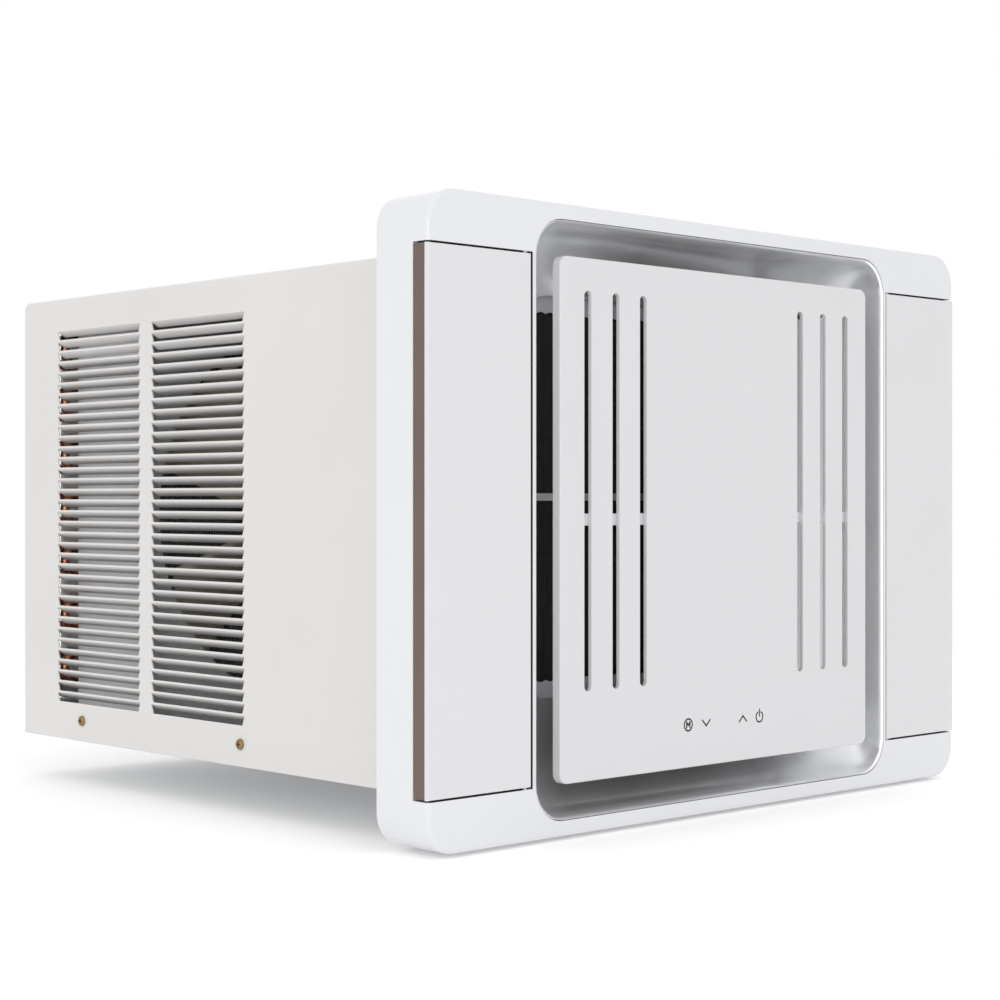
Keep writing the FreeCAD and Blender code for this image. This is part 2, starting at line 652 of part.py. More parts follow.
def frame_bores(body):
    """Hinge bores above and below each door, the filter slot and the cord gland bore."""
    pivots = new_sketch(body, "XY_Plane", door_foot - s.frame_wall)
    for side in (-1, 1):
        circle(pivots, hinge_x * side, front_y + s.hinge_behind, s.hinge_radius + s.running_gap)
    pocket(body, pivots, door_head - door_foot + 2 * s.frame_wall, "XY_Plane")
    half = filter_wide / 2 + s.filter_gap
    top = frame_z + frame_tall / 2
    hollow(body, (-half, filter_y - s.filter_play, frame_z + recess_tall / 2 - 1),
           (half, filter_y + s.filter_thick + s.filter_play, top + 1))
    gland = new_sketch(body, "XY_Plane", -s.sill_drop - 1)
    circle(gland, gland_x, gland_y, s.grommet_radius)
    pocket(body, gland, s.frame_wall + 2, "XY_Plane")
    fixings = new_sketch(body, "XZ_Plane", front_y + collar_end - s.fixing_deep)
    for x, z in fixing_places():
        circle(fixings, x, z, s.fixing_radius + s.running_gap / 2)
    pocket(body, fixings, s.fixing_deep + 2, "XZ_Plane")


def fixing_places():
    """Places of the screws that hold the frame's back plate."""
    lift = door_tall / 2 - s.outlet_rim / 2
    return [((frame_wide / 2 - s.fixing_inset) * side, frame_z + lift * end)
            for side in (-1, 1) for end in (-1, 1)]


def frame_back():
    """The plate that closes the frame's back round the cabinet, and its screws."""
    body = new_body("back")
    margin = 2 * (s.frame_wall + s.sheet_gap)
    start = front_y + collar_end + s.sheet_gap
    slab(body, 0, frame_z, frame_wide - margin, frame_tall - margin,
         s.frame_corner - margin / 2, start, s.back_thick)
    sink(body, 0, s.cabinet_tall / 2, s.cabinet_wide - 2 * s.back_lap,
         s.cabinet_tall - 2 * s.back_lap, s.back_corner, start - 1, s.back_thick + 2)
    holes = new_sketch(body, "XZ_Plane", start - 1)
    for x, z in fixing_places():
        circle(holes, x, z, s.fixing_radius + s.running_gap / 2)
    pocket(body, holes, s.back_thick + 2, "XZ_Plane")
    node("frame_back", body)
    screws = []
    for x, z in fixing_places():
        face = start + s.back_thick
        head = rod("head", (x, face, z), "+Y", s.fixing_head, s.fixing_head_tall)
        shank = rod("shank", (x, face, z), "-Y", s.fixing_radius,
                    s.back_thick + s.fixing_deep - 1)
        screws.append(fuse("frame_screw", [head, shank]))
    node("frame_screws", group("frame_screw_set", screws))


def cord_grommet():
    """A rubber ring in the frame's lower wall, with a flange on each face."""
    low = -s.sill_drop
    waist = rod("waist", (gland_x, gland_y, low), "+Z", s.grommet_radius, s.frame_wall)
    rim = s.grommet_radius + s.grommet_rim
    below = rod("flange", (gland_x, gland_y, low - s.grommet_flange), "+Z", rim,
                s.grommet_flange)
    above = rod("flange", (gland_x, gland_y, low + s.frame_wall), "+Z", rim, s.grommet_flange)
    bore = rod("bore", (gland_x, gland_y, low - s.grommet_flange - 1), "+Z", s.cord_radius,
               s.frame_wall + 2 * s.grommet_flange + 2)
    return node("cord_grommet", cut("grommet", fuse("grommet_body", [waist, below, above]), bore))


def bowl_wires(inset_wall):
    """Sections of the bowl from its lip to the intake edge, pulled in like a quarter round."""
    steps = 6
    wall = float(inset_wall)
    lip_x = float(recess_wide / 2 - s.sheet_gap)
    lip_z = float(recess_tall / 2 - s.sheet_gap)
    pull_x = lip_x - float(intake_wide) / 2
    pull_top = float(s.bowl_pull_head)
    pull_foot = float(s.bowl_pull_foot)
    wires = []
    for step in range(steps + 1):
        angle = math.pi / 2 * step / steps
        depth = float(front_y) + float(s.bowl_deep) * math.sin(angle)
        share = 1 - math.cos(angle)
        left_right = lip_x - pull_x * share - wall
        top = float(frame_z) + lip_z - pull_top * share - wall
        foot = float(frame_z) - lip_z + pull_foot * share + wall
        corner = float(s.recess_corner) + (float(s.intake_corner) - float(s.recess_corner)) * share
        wires.append(rounded_wire(left_right, foot, top, depth, corner - wall * 0.5))
    return wires


def rounded_wire(half, foot, top, y, corner):
    """A round-cornered upright outline at one depth."""
    edges = []
    middles = [(half - corner, foot + corner, -90), (half - corner, top - corner, 0),
               (corner - half, top - corner, 90), (corner - half, foot + corner, 180)]
    previous = None
    for mid_x, mid_z, start in middles + middles[:1]:
        spots = []
        for turn in (start, start + 45, start + 90):
            angle = math.radians(turn)
            spots.append(Vector(mid_x + corner * math.cos(angle), y,
                                mid_z + corner * math.sin(angle)))
        if previous is not None:
            edges.append(Part.LineSegment(previous, spots[0]).toShape())
        if len(edges) < 8:
            edges.append(Part.Arc(*spots).toShape())
        previous = spots[2]
    return Part.Wire(edges[:8])


def recess_bowl():
    """The silver bowl: a thin concave shell from the frame's lip to the intake edge."""
    outer = Part.makeLoft(bowl_wires(0), True)
    inner = Part.makeLoft(bowl_wires(s.bowl_wall), True)
    shell = outer.cut(inner)
    gap, inset = float(s.sheet_gap), float(s.bowl_flange_inset)
    flange = Part.makeBox(float(recess_wide) - 2 * gap, float(s.bowl_wall),
                          float(recess_tall) - 2 * inset,
                          Vector(gap - float(recess_wide) / 2, float(front_y + s.bowl_deep),
                                 float(frame_z) - float(recess_tall) / 2 + inset))
    hole = Part.makeBox(float(intake_wide) - 2 * float(s.bowl_wall), 30,
                        float(intake_tall) - 2 * float(s.bowl_wall),
                        Vector(float(s.bowl_wall) - float(intake_wide) / 2,
                               float(front_y + s.bowl_deep) - 10,
                               float(intake_z) - float(intake_tall) / 2 + float(s.bowl_wall)))
    whole = shell.fuse(flange).cut(hole)
    for x, z in post_places():
        post = Part.makeCylinder(float(s.post_radius),
                                 float(s.bowl_deep) - float(s.panel_deep) - gap,
                                 Vector(float(x), float(front_y + s.panel_deep) + gap, float(z)),
                                 Vector(0, 1, 0))
        bore = Part.makeCylinder(float(s.peg_radius + s.running_gap), float(s.peg_reach),
                                 Vector(float(x), float(front_y + s.panel_deep), float(z)),
                                 Vector(0, 1, 0))
        whole = whole.fuse(post).cut(bore)
    return shape_node("recess_bowl", whole.removeSplitter())


def post_places():
    """Places of the four posts that carry the floating panel."""
    far_x = panel_wide / 2 - s.post_inset_x
    return [(far_x * side, z) for side in (-1, 1)
            for z in (frame_z - panel_tall / 2 + s.post_inset_z,
                      frame_z + panel_tall / 2 - s.post_inset_z)]


def front_panel():
    """The floating panel: a thin slotted plate with a rim, ribs across the slots and pegs."""
    body = new_body("panel")
    plate = slab(body, 0, frame_z, panel_wide, panel_tall, s.panel_corner, front_y,
                 s.panel_deep)
    round_edges(body, plate, s.panel_round, lambda edge: at_level(edge, "Y", front_y))
    sink(body, 0, frame_z, panel_wide - 2 * s.panel_rim, panel_tall - 2 * s.panel_rim,
         s.panel_corner - s.panel_rim, front_y + s.panel_thick, s.panel_deep)
    slits = new_sketch(body, "XZ_Plane", front_y)
    for side in (-1, 1):
        for step in range(3):
            x = (panel_wide / 2 - s.slit_inset - step * s.slit_pitch) * side
            rounded(slits, x, slit_z, s.slit_wide, slit_tall, s.slit_wide / 2 - 0.1)
    pocket(body, slits, s.panel_thick, "XZ_Plane")
    for side in (-1, 1):
        outer = (panel_wide / 2 - s.slit_inset / 2) * side
        inner = (panel_wide / 2 - s.slit_inset - 2.5 * s.slit_pitch) * side
        low, high = sorted((outer, inner), key=float)
        block(body, (low, front_y + s.panel_thick - s.bridge_lap, frame_z - s.bridge_tall / 2),
              (high, front_y + s.panel_thick + s.bridge_deep, frame_z + s.bridge_tall / 2))
    for x, z in post_places():
        peg = new_sketch(body, "XZ_Plane", front_y + s.panel_thick)
        circle(peg, x, z, s.peg_radius)
        pad(body, peg, s.peg_long, "XZ_Plane")
    return node("front_panel", body)


def display_parts():
    """The touch board behind the panel and the housing that holds it."""
    foot = frame_z - panel_tall / 2 + s.display_foot
    wide, tall, wall = s.display_wide, s.display_tall, s.display_wall
    front = front_y + s.panel_thick + s.sheet_gap
    shell = cut("housing", wide_box("housing_block", 0, wide, front, s.display_deep, foot, tall),
                wide_box("housing_room", 0, wide - 2 * wall, front - 1, s.display_deep - wall + 1,
                         foot + wall, tall - 2 * wall))
    node("display_housing", shell)
    seat = wall + s.sheet_gap
    board = wide_box("board", 0, wide - 2 * seat, front + s.sheet_gap, s.board_thick,
                     foot + seat, tall - 2 * seat)
    node("display_board", board)


def filter_parts():
    """The dust filter: a frame with a mid bar and a thin mesh in it."""
    start = filter_y
    low = intake_z - filter_tall / 2
    half = filter_wide / 2
    rail = s.filter_rail
    block_full = box("filter_block", (-half, start, low), (filter_wide, s.filter_thick,
                                                           filter_tall))
    room_tall = (filter_tall - s.filter_bar) / 2 - rail
    upper = low + (filter_tall + s.filter_bar) / 2
    rooms = [box("filter_room", (-half + rail, start - 1, z),
                 (filter_wide - 2 * rail, s.filter_thick + 2, room_tall))
             for z in (low + rail, upper)]
    tab = wide_box("filter_tab", 0, s.tab_wide, start, s.filter_thick, low + filter_tall - 1,
                   frame_z + frame_tall / 2 - (low + filter_tall) + 1)
    node("filter_frame", fuse("filter", [cut("filter_frame_cut", block_full, *rooms), tab]))
    meshes = [box("mesh", (-half + rail, start + (s.filter_thick - s.mesh_thick) / 2, z),
                  (filter_wide - 2 * rail, s.mesh_thick, room_tall))
              for z in (low + rail, upper)]
    node("filter_mesh", group("filter_meshes", meshes))


# ---------------------------------------------------------------- outlets


def outlet_door(side, name):
    """An outlet door: a tall plate with a back rib and a hinge pin at each end."""
    body = new_body(f"{name}_door_body")
    edges = sorted((door_x * side, frame_wide / 2 * side), key=float)
    plate = block(body, (edges[0], front_y, door_foot),
                  (edges[1], front_y + s.door_thick, door_head))
    round_edges(body, plate, s.door_round, lambda edge: at_level(edge, "Y", front_y))
    rib = sorted(((hinge_x + s.door_rib_near) * side,
                  (frame_wide / 2 - s.door_rib_far) * side), key=float)
    for z in (door_foot + s.door_rib_inset, door_head - s.door_rib_inset - s.door_rib_tall):
        block(body, (rib[0], front_y + s.door_thick - 0.5, z),
              (rib[1], front_y + s.notch_deep - s.door_rib_room, z + s.door_rib_tall))
    centre = front_y + s.hinge_behind
    barrel = new_sketch(body, "XY_Plane", door_foot + s.barrel_gap)
    circle(barrel, hinge_x * side, centre, s.hinge_behind)
    pad(body, barrel, door_tall - 2 * s.barrel_gap, "XY_Plane")
    pin = new_sketch(body, "XY_Plane", door_foot - s.frame_wall)
    circle(pin, hinge_x * side, centre, s.hinge_radius)
    pad(body, pin, door_tall + 2 * s.frame_wall, "XY_Plane")
    return node(f"{name}_door", body)


def door_trim(side, name):
    """The satin strip on the door's outer edge, wrapping from the plate to the side."""
    high = frame_wide / 2 - s.trim_wrap
    low = high - s.trim_thick
    x = low if side > 0 else -high
    start = front_y + s.door_thick + s.sheet_gap
    strip = box(f"{name}_strip", (x, start, door_foot), (s.trim_thick,
                front_y + s.notch_deep - s.sheet_gap - start, door_tall))
    return node(f"{name}_door_trim", strip)


def vane_x(side, index):
    """Where a vane's axis stands."""
    return (outlet_x + s.outlet_wide / 2 + (index - (s.vane_count.number - 1) / 2) * s.vane_pitch
            ) * side


def vane_carrier(side, name):
    """A slim frame in the outlet with bearing holes for the vanes."""
    body = new_body(f"{name}_carrier_body")
    low_z, high_z = vane_foot - s.carrier_wall, vane_head + s.carrier_wall
    edges = sorted(((outlet_x + s.sheet_gap) * side,
                    (outlet_x + s.outlet_wide - s.sheet_gap) * side), key=float)
    start = front_y + s.notch_deep + s.sheet_gap
    end = front_y + s.outlet_step - s.sheet_gap
    block(body, (edges[0], start, low_z), (edges[1], end, high_z))
    wall = s.carrier_wall
    hollow(body, (edges[0] + wall, start - 1, vane_foot), (edges[1] - wall, end + 1, vane_head))
    holes = new_sketch(body, "XY_Plane", low_z)
    for index in range(int(float(s.vane_count))):
        circle(holes, vane_x(side, index), vane_y, s.vane_pin + s.running_gap)
    pocket(body, holes, high_z - low_z, "XY_Plane")
    return node(f"{name}_vane_carrier", body)


def outlet_vane(side, name, index):
    """An upright vane: a thin blade on two pins with a crank peg for the link bar."""
    x = vane_x(side, index)
    low, high = vane_foot + s.vane_gap, vane_head - s.vane_gap
    blade = box("blade", (x - s.vane_thick / 2, vane_y - s.vane_chord / 2, low + s.vane_lift),
                (s.vane_thick, s.vane_chord, high - low - s.vane_lift))
    stem = rod("stem", (x, vane_y, vane_foot - s.carrier_wall), "+Z", s.vane_pin,
               vane_head - vane_foot + 2 * s.carrier_wall)
    half = s.crank_wide / 2
    crank = box("crank", (x - half, vane_y - half, low + s.crank_lift),
                (s.crank_wide, s.crank_throw + s.crank_wide, s.crank_thick))
    peg = rod("peg", (x, vane_y + s.crank_throw, low), "+Z", s.peg_pin, s.crank_lift + 1)
    return node(f"{name}_vane_{index + 1}", fuse(f"{name}_vane", [blade, stem, crank, peg]))


def vane_link(side, name):
    """The link bar that joins the vanes' crank pegs."""
    last = int(float(s.vane_count)) - 1
    ends = sorted((vane_x(side, 0), vane_x(side, last)), key=float)
    low = vane_foot + s.link_gap
    bar = box("bar", (ends[0] - s.link_end, vane_y + s.crank_throw - s.link_wide / 2, low),
              (ends[1] - ends[0] + 2 * s.link_end, s.link_wide, s.link_thick))
    holes = [rod("hole", (vane_x(side, index), vane_y + s.crank_throw, low - 1), "+Z",
                 s.peg_pin + s.running_gap, s.link_thick + 2) for index in range(last + 1)]
    return node(f"{name}_vane_link", cut(f"{name}_link", bar, *holes))


def outlet_motors():
    """Small stepper motors: one over each door hinge and one over each lead vane."""
    doors, vanes = [], []
    top = frame_z + door_tall / 2 + s.frame_wall
    for side in (-1, 1):
        x = (hinge_x + s.door_motor_reach) * side
        doors.append(rod("can", (x, front_y + s.door_motor_deep, top + s.sheet_gap), "+Z",
                         s.door_motor_radius, s.door_motor_tall))
        x = vane_x(side, 0) + s.vane_motor_reach * side
        vanes.append(rod("can", (x, front_y + s.vane_motor_deep, top + s.sheet_gap), "+Z",
                         s.vane_motor_radius, s.vane_motor_tall))
    node("door_motors", group("door_motor_pair", doors))
    node("vane_motors", group("vane_motor_pair", vanes))


# ---------------------------------------------------------------- heat exchangers

BEND_TURNS = {
    1: Rotation(Vector(0, 0, 1), Vector(1, 0, 0), Vector(0, 1, 0)),
    -1: Rotation(Vector(0, 0, 1), Vector(-1, 0, 0), Vector(0, -1, 0)),
}
CROSS_TURNS = {
    1: Rotation(Vector(0, 1, 0), Vector(1, 0, 0), Vector(0, 0, -1)),
    -1: Rotation(Vector(0, 1, 0), Vector(-1, 0, 0), Vector(0, 0, 1)),
}


def tube_count(tall):
    """How many tubes stand above each other in a coil."""
    return int(float(tall) / float(s.tube_pitch))


def coil_rows(start, deep):
    """Depths of the two rows of tubes in a coil."""
    middle = start + deep / 2
    return middle - s.row_pitch / 2, middle + s.row_pitch / 2


def tube_z(index):
    """Height of a tube in a coil."""
    return s.coil_foot + (index + 0.5) * s.tube_pitch


def coil(name, wide, tall, start, deep, plate_foot):
    """A finned coil: fin pack, end plates, straight tubes and return bends.

    The bends leave the highest tube of each row open on the right for the lines.
    """
    count = tube_count(tall)
    first_side = 1 if count % 2 else -1
    rows = coil_rows(start, deep)
    pack = new_body(f"{name}_pack")
    block(pack, (-wide / 2, start, s.coil_foot), (wide / 2, start + deep, s.coil_foot + tall))
    bores = new_sketch(pack, "YZ_Plane", -wide / 2)
    for row in rows:
        for index in range(count):
            circle(bores, row, tube_z(index), s.tube_radius + s.running_gap / 2)
    extrude(pack, "Pocket", bores, wide, "YZ_Plane")
    node(f"{name}_fins", pack)
    plates = []
    for side in (-1, 1):
        inner = wide / 2 if side > 0 else -(wide / 2 + s.plate_thick)
        plate = box("plate", (inner, start - s.plate_lap, plate_foot),
                    (s.plate_thick, deep + 2 * s.plate_lap,
                     s.coil_foot + tall + s.plate_rise - plate_foot))
        holes = [rod("hole", (inner - 1, row, tube_z(index)), "+X",
                     s.tube_radius + s.running_gap / 2, s.plate_thick + 2)
                 for row in rows for index in range(count)]
        plates.append(cut("end_plate", plate, *holes))
    node(f"{name}_end_plates", group(f"{name}_plates", plates))
    reach = wide / 2 + s.plate_thick + s.tube_reach
    tubes = [rod("tube", (-reach, row, tube_z(index)), "+X", s.tube_radius, 2 * reach)
             for row in rows for index in range(count)]
    node(f"{name}_tubes", group(f"{name}_tube_set", tubes))
    bends = []
    for index in range(count - 1):
        side = first_side if index % 2 == 0 else -first_side
        for row in rows:
            bends.append(bend("bend", (reach * side, row, tube_z(index + 0.5)),
                              s.tube_pitch / 2, BEND_TURNS[side]))
    bends.append(bend("cross_bend", (-first_side * reach, (rows[0] + rows[1]) / 2, tube_z(0)),
                      s.row_pitch / 2, CROSS_TURNS[-first_side]))
    node(f"{name}_bends", group(f"{name}_bend_set", bends))


def bend(name, middle, reach, turn):
    """A half ring of tube."""
    ring = doc.addObject("Part::Torus", name)
    bind(ring, Radius1=reach, Radius2=s.tube_radius, Angle3=180)
    return place(ring, middle, turn)


def evaporator():
    """The cold coil behind the filter, standing in its drip tray."""
    low = pan_floor + s.sheet_gap
    wide = evaporator_wide + 2 * s.tray_reach
    start, deep = evaporator_y - s.tray_margin, s.evaporator_deep + 2 * s.tray_margin
    wall = s.tray_wall
    tray = cut("tray", wide_box("tray_block", 0, wide, start, deep, low, s.tray_tall),
               wide_box("tray_room", 0, wide - 2 * wall, start + wall, deep - 2 * wall,
                        low + s.tray_floor, s.tray_tall))
    node("drip_tray", tray)
    coil("evaporator", evaporator_wide, evaporator_tall, evaporator_y, s.evaporator_deep,
         low + s.tray_floor + s.sheet_gap)


def condenser():
    """The hot coil at the back."""
    coil("condenser", condenser_wide, condenser_tall, condenser_y, s.condenser_deep,
         pan_floor + s.sheet_gap)


# ---------------------------------------------------------------- air path


def air_duct():
    """The blower casing with a wing on each side that leads forward to the outlets."""
    wall = s.duct_wall
    tall = duct_head - duct_foot
    outer = box("casing", (-duct_x, duct_y, duct_foot), (2 * duct_x, s.duct_deep, tall))
    room = box("casing_room", (wall - duct_x, duct_y - 1, duct_foot + wall),
               (2 * (duct_x - wall), s.duct_deep - wall + 1, tall - 2 * wall))
    shaft_hole = rod("shaft_hole", (s.fan_x, duct_y, fan_z), "+Y", s.shaft_hole,
                     s.duct_deep + 1)
    wings, passages = [], []
    start = cabinet_y + s.pan_inset + s.sheet_wall + s.sheet_gap
    for side in (-1, 1):
        low = wing_x if side > 0 else -duct_x
        deep = duct_y - start + 2
        wings.append(box("wing", (low, start, duct_foot), (duct_x - wing_x, deep, tall)))
        passages.append(box("passage", (low + wall, start - 1, duct_foot + wall),
                            (duct_x - wing_x - 2 * wall, deep + wall + 2, tall - 2 * wall)))
    whole = cut("duct", fuse("duct_body", [outer] + wings), room, shaft_hole, *passages)
    return node("air_duct", whole)


def duct_cover():
    """The plate that closes the casing in front of the blower, with a rounded mouth."""
    half = wing_x - s.sheet_gap
    start = duct_y - s.duct_wall - s.sheet_gap
    plate = box("cover", (-half, start, duct_foot), (2 * half, s.duct_wall, duct_head - duct_foot))
    lip = rod("lip", (s.fan_x, start, fan_z), "+Y", s.mouth_radius + s.duct_wall,
              s.lip_long)
    mouth = rod("mouth", (s.fan_x, start - 1, fan_z), "+Y", s.mouth_radius, s.lip_long + 4)
    return node("duct_cover", cut("mouth_plate", fuse("cover_body", [plate, lip]), mouth))


def blower_wheel():
    """A forward-curved centrifugal wheel: back plate, hub, leaning blades and front ring."""
    body = new_body("blower")
    start = duct_y + s.blower_gap
    back = start + s.blower_deep
    disc = new_sketch(body, "XZ_Plane", back - s.blower_plate)
    circle(disc, s.fan_x, fan_z, s.blower_radius)
    pad(body, disc, s.blower_plate, "XZ_Plane")
    hub = new_sketch(body, "XZ_Plane", back - s.blower_hub_long)
    circle(hub, s.fan_x, fan_z, s.blower_hub)
    pad(body, hub, s.blower_hub_long, "XZ_Plane")
    inner, outer = s.blower_radius - s.blower_reach, s.blower_radius - s.blower_rim
    lean, thick = float(s.blade_lean), float(s.blade_thick)
    blades = new_sketch(body, "XZ_Plane", start + 1)
    for step in range(int(float(s.blower_blades))):
        angle = 2 * math.pi * step / float(s.blower_blades)
        corners = [(inner, -thick), (inner, thick), (outer, lean + thick), (outer, lean - thick)]
        polygon(blades, [(s.fan_x + radius * round(math.cos(angle + shift), 6),
                          fan_z + radius * round(math.sin(angle + shift), 6))
                         for radius, shift in corners])
    pad(body, blades, s.blower_deep - 2, "XZ_Plane")
    ring = new_sketch(body, "XZ_Plane", start)
    circle(ring, s.fan_x, fan_z, s.blower_radius)
    circle(ring, s.fan_x, fan_z, s.blower_radius - s.blower_ring)
    pad(body, ring, s.blower_ring_thick, "XZ_Plane")
    bore = new_sketch(body, "XZ_Plane", start)
    circle(bore, s.fan_x, fan_z, s.shaft_radius + s.running_gap / 2)
    pocket(body, bore, s.blower_deep, "XZ_Plane")
    return node("blower_wheel", body)


def bulkhead():
    """The steel wall between the cold and the hot side."""
    start = bulkhead_y
    half = duct_x
    wall = box("wall", (-half, start, pan_floor + s.sheet_gap),
               (2 * half, s.bulkhead_thick, s.cabinet_tall - 2 * s.sheet_wall
                - 2 * s.sheet_gap - s.bulkhead_head))
    deep = s.bulkhead_thick + 2
    tools = [rod("shaft_hole", (s.fan_x, start - 1, fan_z), "+Y", s.shaft_hole, deep)]
    for x in (suction_x, liquid_x):
        tools.append(wide_box("line_slot", x, s.line_slot, start - 1, deep,
                              line_z - s.line_slot_drop, 2 * s.line_slot))
    return node("bulkhead", cut("bulkhead_wall", wall, *tools))


def fan_motor():
    """The double-shaft motor and the saddle that carries it."""
    start = motor_y
    can = rod("can", (s.fan_x, start, fan_z), "+Y", s.motor_radius, s.motor_deep)
    bosses = rod("bosses", (s.fan_x, start - s.boss_long, fan_z), "+Y", s.boss_radius,
                 s.motor_deep + 2 * s.boss_long)
    bore = rod("bore", (s.fan_x, start - s.boss_long - 1, fan_z), "+Y",
               s.shaft_radius + s.running_gap, s.motor_deep + 2 * s.boss_long + 2)
    node("fan_motor", cut("motor", fuse("motor_body", [can, bosses]), bore))
    low = pan_floor + s.sheet_gap
    wide, deep, wall = s.saddle_wide, s.saddle_deep, s.saddle_wall
    head = fan_z - s.saddle_drop
    seat = start + (s.motor_deep - deep) / 2
    solid = wide_box("saddle_block", s.fan_x, wide, seat, deep, low, head - low)
    room = wide_box("saddle_room", s.fan_x, wide - 2 * wall, seat - 1, deep + 2, low + wall,
                    fan_z - s.motor_radius - s.saddle_room - low)
    round_seat = rod("round_seat", (s.fan_x, seat - 1, fan_z), "+Y",
                     s.motor_radius + s.sheet_gap, deep + 2)
    node("motor_saddle", cut("saddle", solid, room, round_seat))


def motor_shaft():
    """The shaft through the motor with the blower on one end and the fan on the other."""
    start = duct_y + s.shaft_front
    end = shroud_y + s.fan_deep + s.shaft_back
    return node("motor_shaft", rod("shaft", (s.fan_x, start, fan_z), "+Y", s.shaft_radius,
                                   end - start))


def condenser_fan():
    """The axial fan: a hub, pitched blades and a slinger ring round their tips."""
    centre = Vector(float(s.fan_x), float(shroud_y + s.fan_inset), float(fan_z))
    ahead = Vector(0, 1, 0)
    deep = float(s.fan_deep)
    hub = Part.makeCylinder(float(s.fan_hub), deep, centre, ahead)
    tip = float(fan_radius - s.fan_ring)
    band = float(s.fan_ring_deep)
    ring = Part.makeCylinder(float(fan_radius), band, centre + Vector(0, deep - band, 0), ahead)
    ring = ring.cut(Part.makeCylinder(tip, band, centre + Vector(0, deep - band, 0), ahead))
    blades = []
    for step in range(int(float(s.fan_blades))):
        sections = [blade_section(radius, pitch, tip * share, centre, deep)
                    for radius, pitch, share in ((float(s.fan_hub) - 4, 48, 0.34),
                                                 (tip * 0.6, 34, 0.653), (tip + 1, 24, 0.803))]
        blade = Part.makeLoft(sections, True)
        blade.rotate(centre, ahead, 360 * step / float(s.fan_blades))
        blades.append(blade)
    trim = Part.makeCylinder(tip + 1, deep, centre, ahead)
    whole = hub.fuse([blade.common(trim) for blade in blades] + [ring])
    bore = Part.makeCylinder(float(s.shaft_radius + s.running_gap / 2), deep, centre, ahead)
    return shape_node("condenser_fan", whole.cut(bore))


def blade_section(radius, pitch, chord, centre, deep):
    """A thin section across a blade at one radius, turned by its pitch."""
    half, thick = chord / 2, float(s.fan_sheet) / 2
    turn = Rotation(Vector(1, 0, 0), -pitch)
    middle = centre + Vector(0, deep / 2, 0)
    corners = [Vector(radius, -thick, -half), Vector(radius, thick, -half),
               Vector(radius, thick, half), Vector(radius, -thick, half)]
    spots = [middle + turn.multVec(corner) for corner in corners]
    return Part.makePolygon(spots + spots[:1])


def fan_shroud():
    """The fan's orifice plate with side walls that reach back to the coil."""
    start = shroud_y
    wall = s.shroud_wall
    low = pan_floor + s.sheet_gap
    high = s.cabinet_tall - s.sheet_wall - s.shroud_head
    deep = condenser_y - s.shroud_back - start
    left = s.cabinet_wide / 2 - s.shroud_left
    wide = s.cabinet_wide - s.shroud_left - s.shroud_right
    outer = box("shroud", (-left, start, low), (wide, deep, high - low))
    room = box("shroud_room", (wall - left, start + wall, low + wall),
               (wide - 2 * wall, deep, high - low - 2 * wall))
    orifice = fan_radius + s.fan_gap
    collar = cut("collar", rod("collar_out", (s.fan_x, start, fan_z), "+Y",
                               orifice + s.collar_wall, s.collar_deep),
                 rod("collar_in", (s.fan_x, start - 1, fan_z), "+Y", orifice,
                     s.collar_deep + 4))
    hole = rod("orifice", (s.fan_x, start - 1, fan_z), "+Y", orifice, 4)
    return node("fan_shroud", fuse("shroud_whole", [cut("shroud_shell", outer, room, hole),
                                                    collar]))


# ---------------------------------------------------------------- refrigeration and wiring


def foot_places():
    """Places of the compressor's three feet."""
    return [(compressor_x + s.foot_reach * math.cos(math.radians(angle)),
             compressor_y + s.foot_reach * math.sin(math.radians(angle)))
            for angle in (90, 210, 330)]


def round_can(name, x, y, radius, low, high, rounding):
    """An upright vessel with domed ends."""
    body = new_body(name)
    disc = new_sketch(body, "XY_Plane", low)
    circle(disc, x, y, radius)
    vessel = pad(body, disc, high - low, "XY_Plane")
    round_edges(body, vessel, rounding, lambda edge: at_level(edge, "Z", low)
                or at_level(edge, "Z", high))
    return body


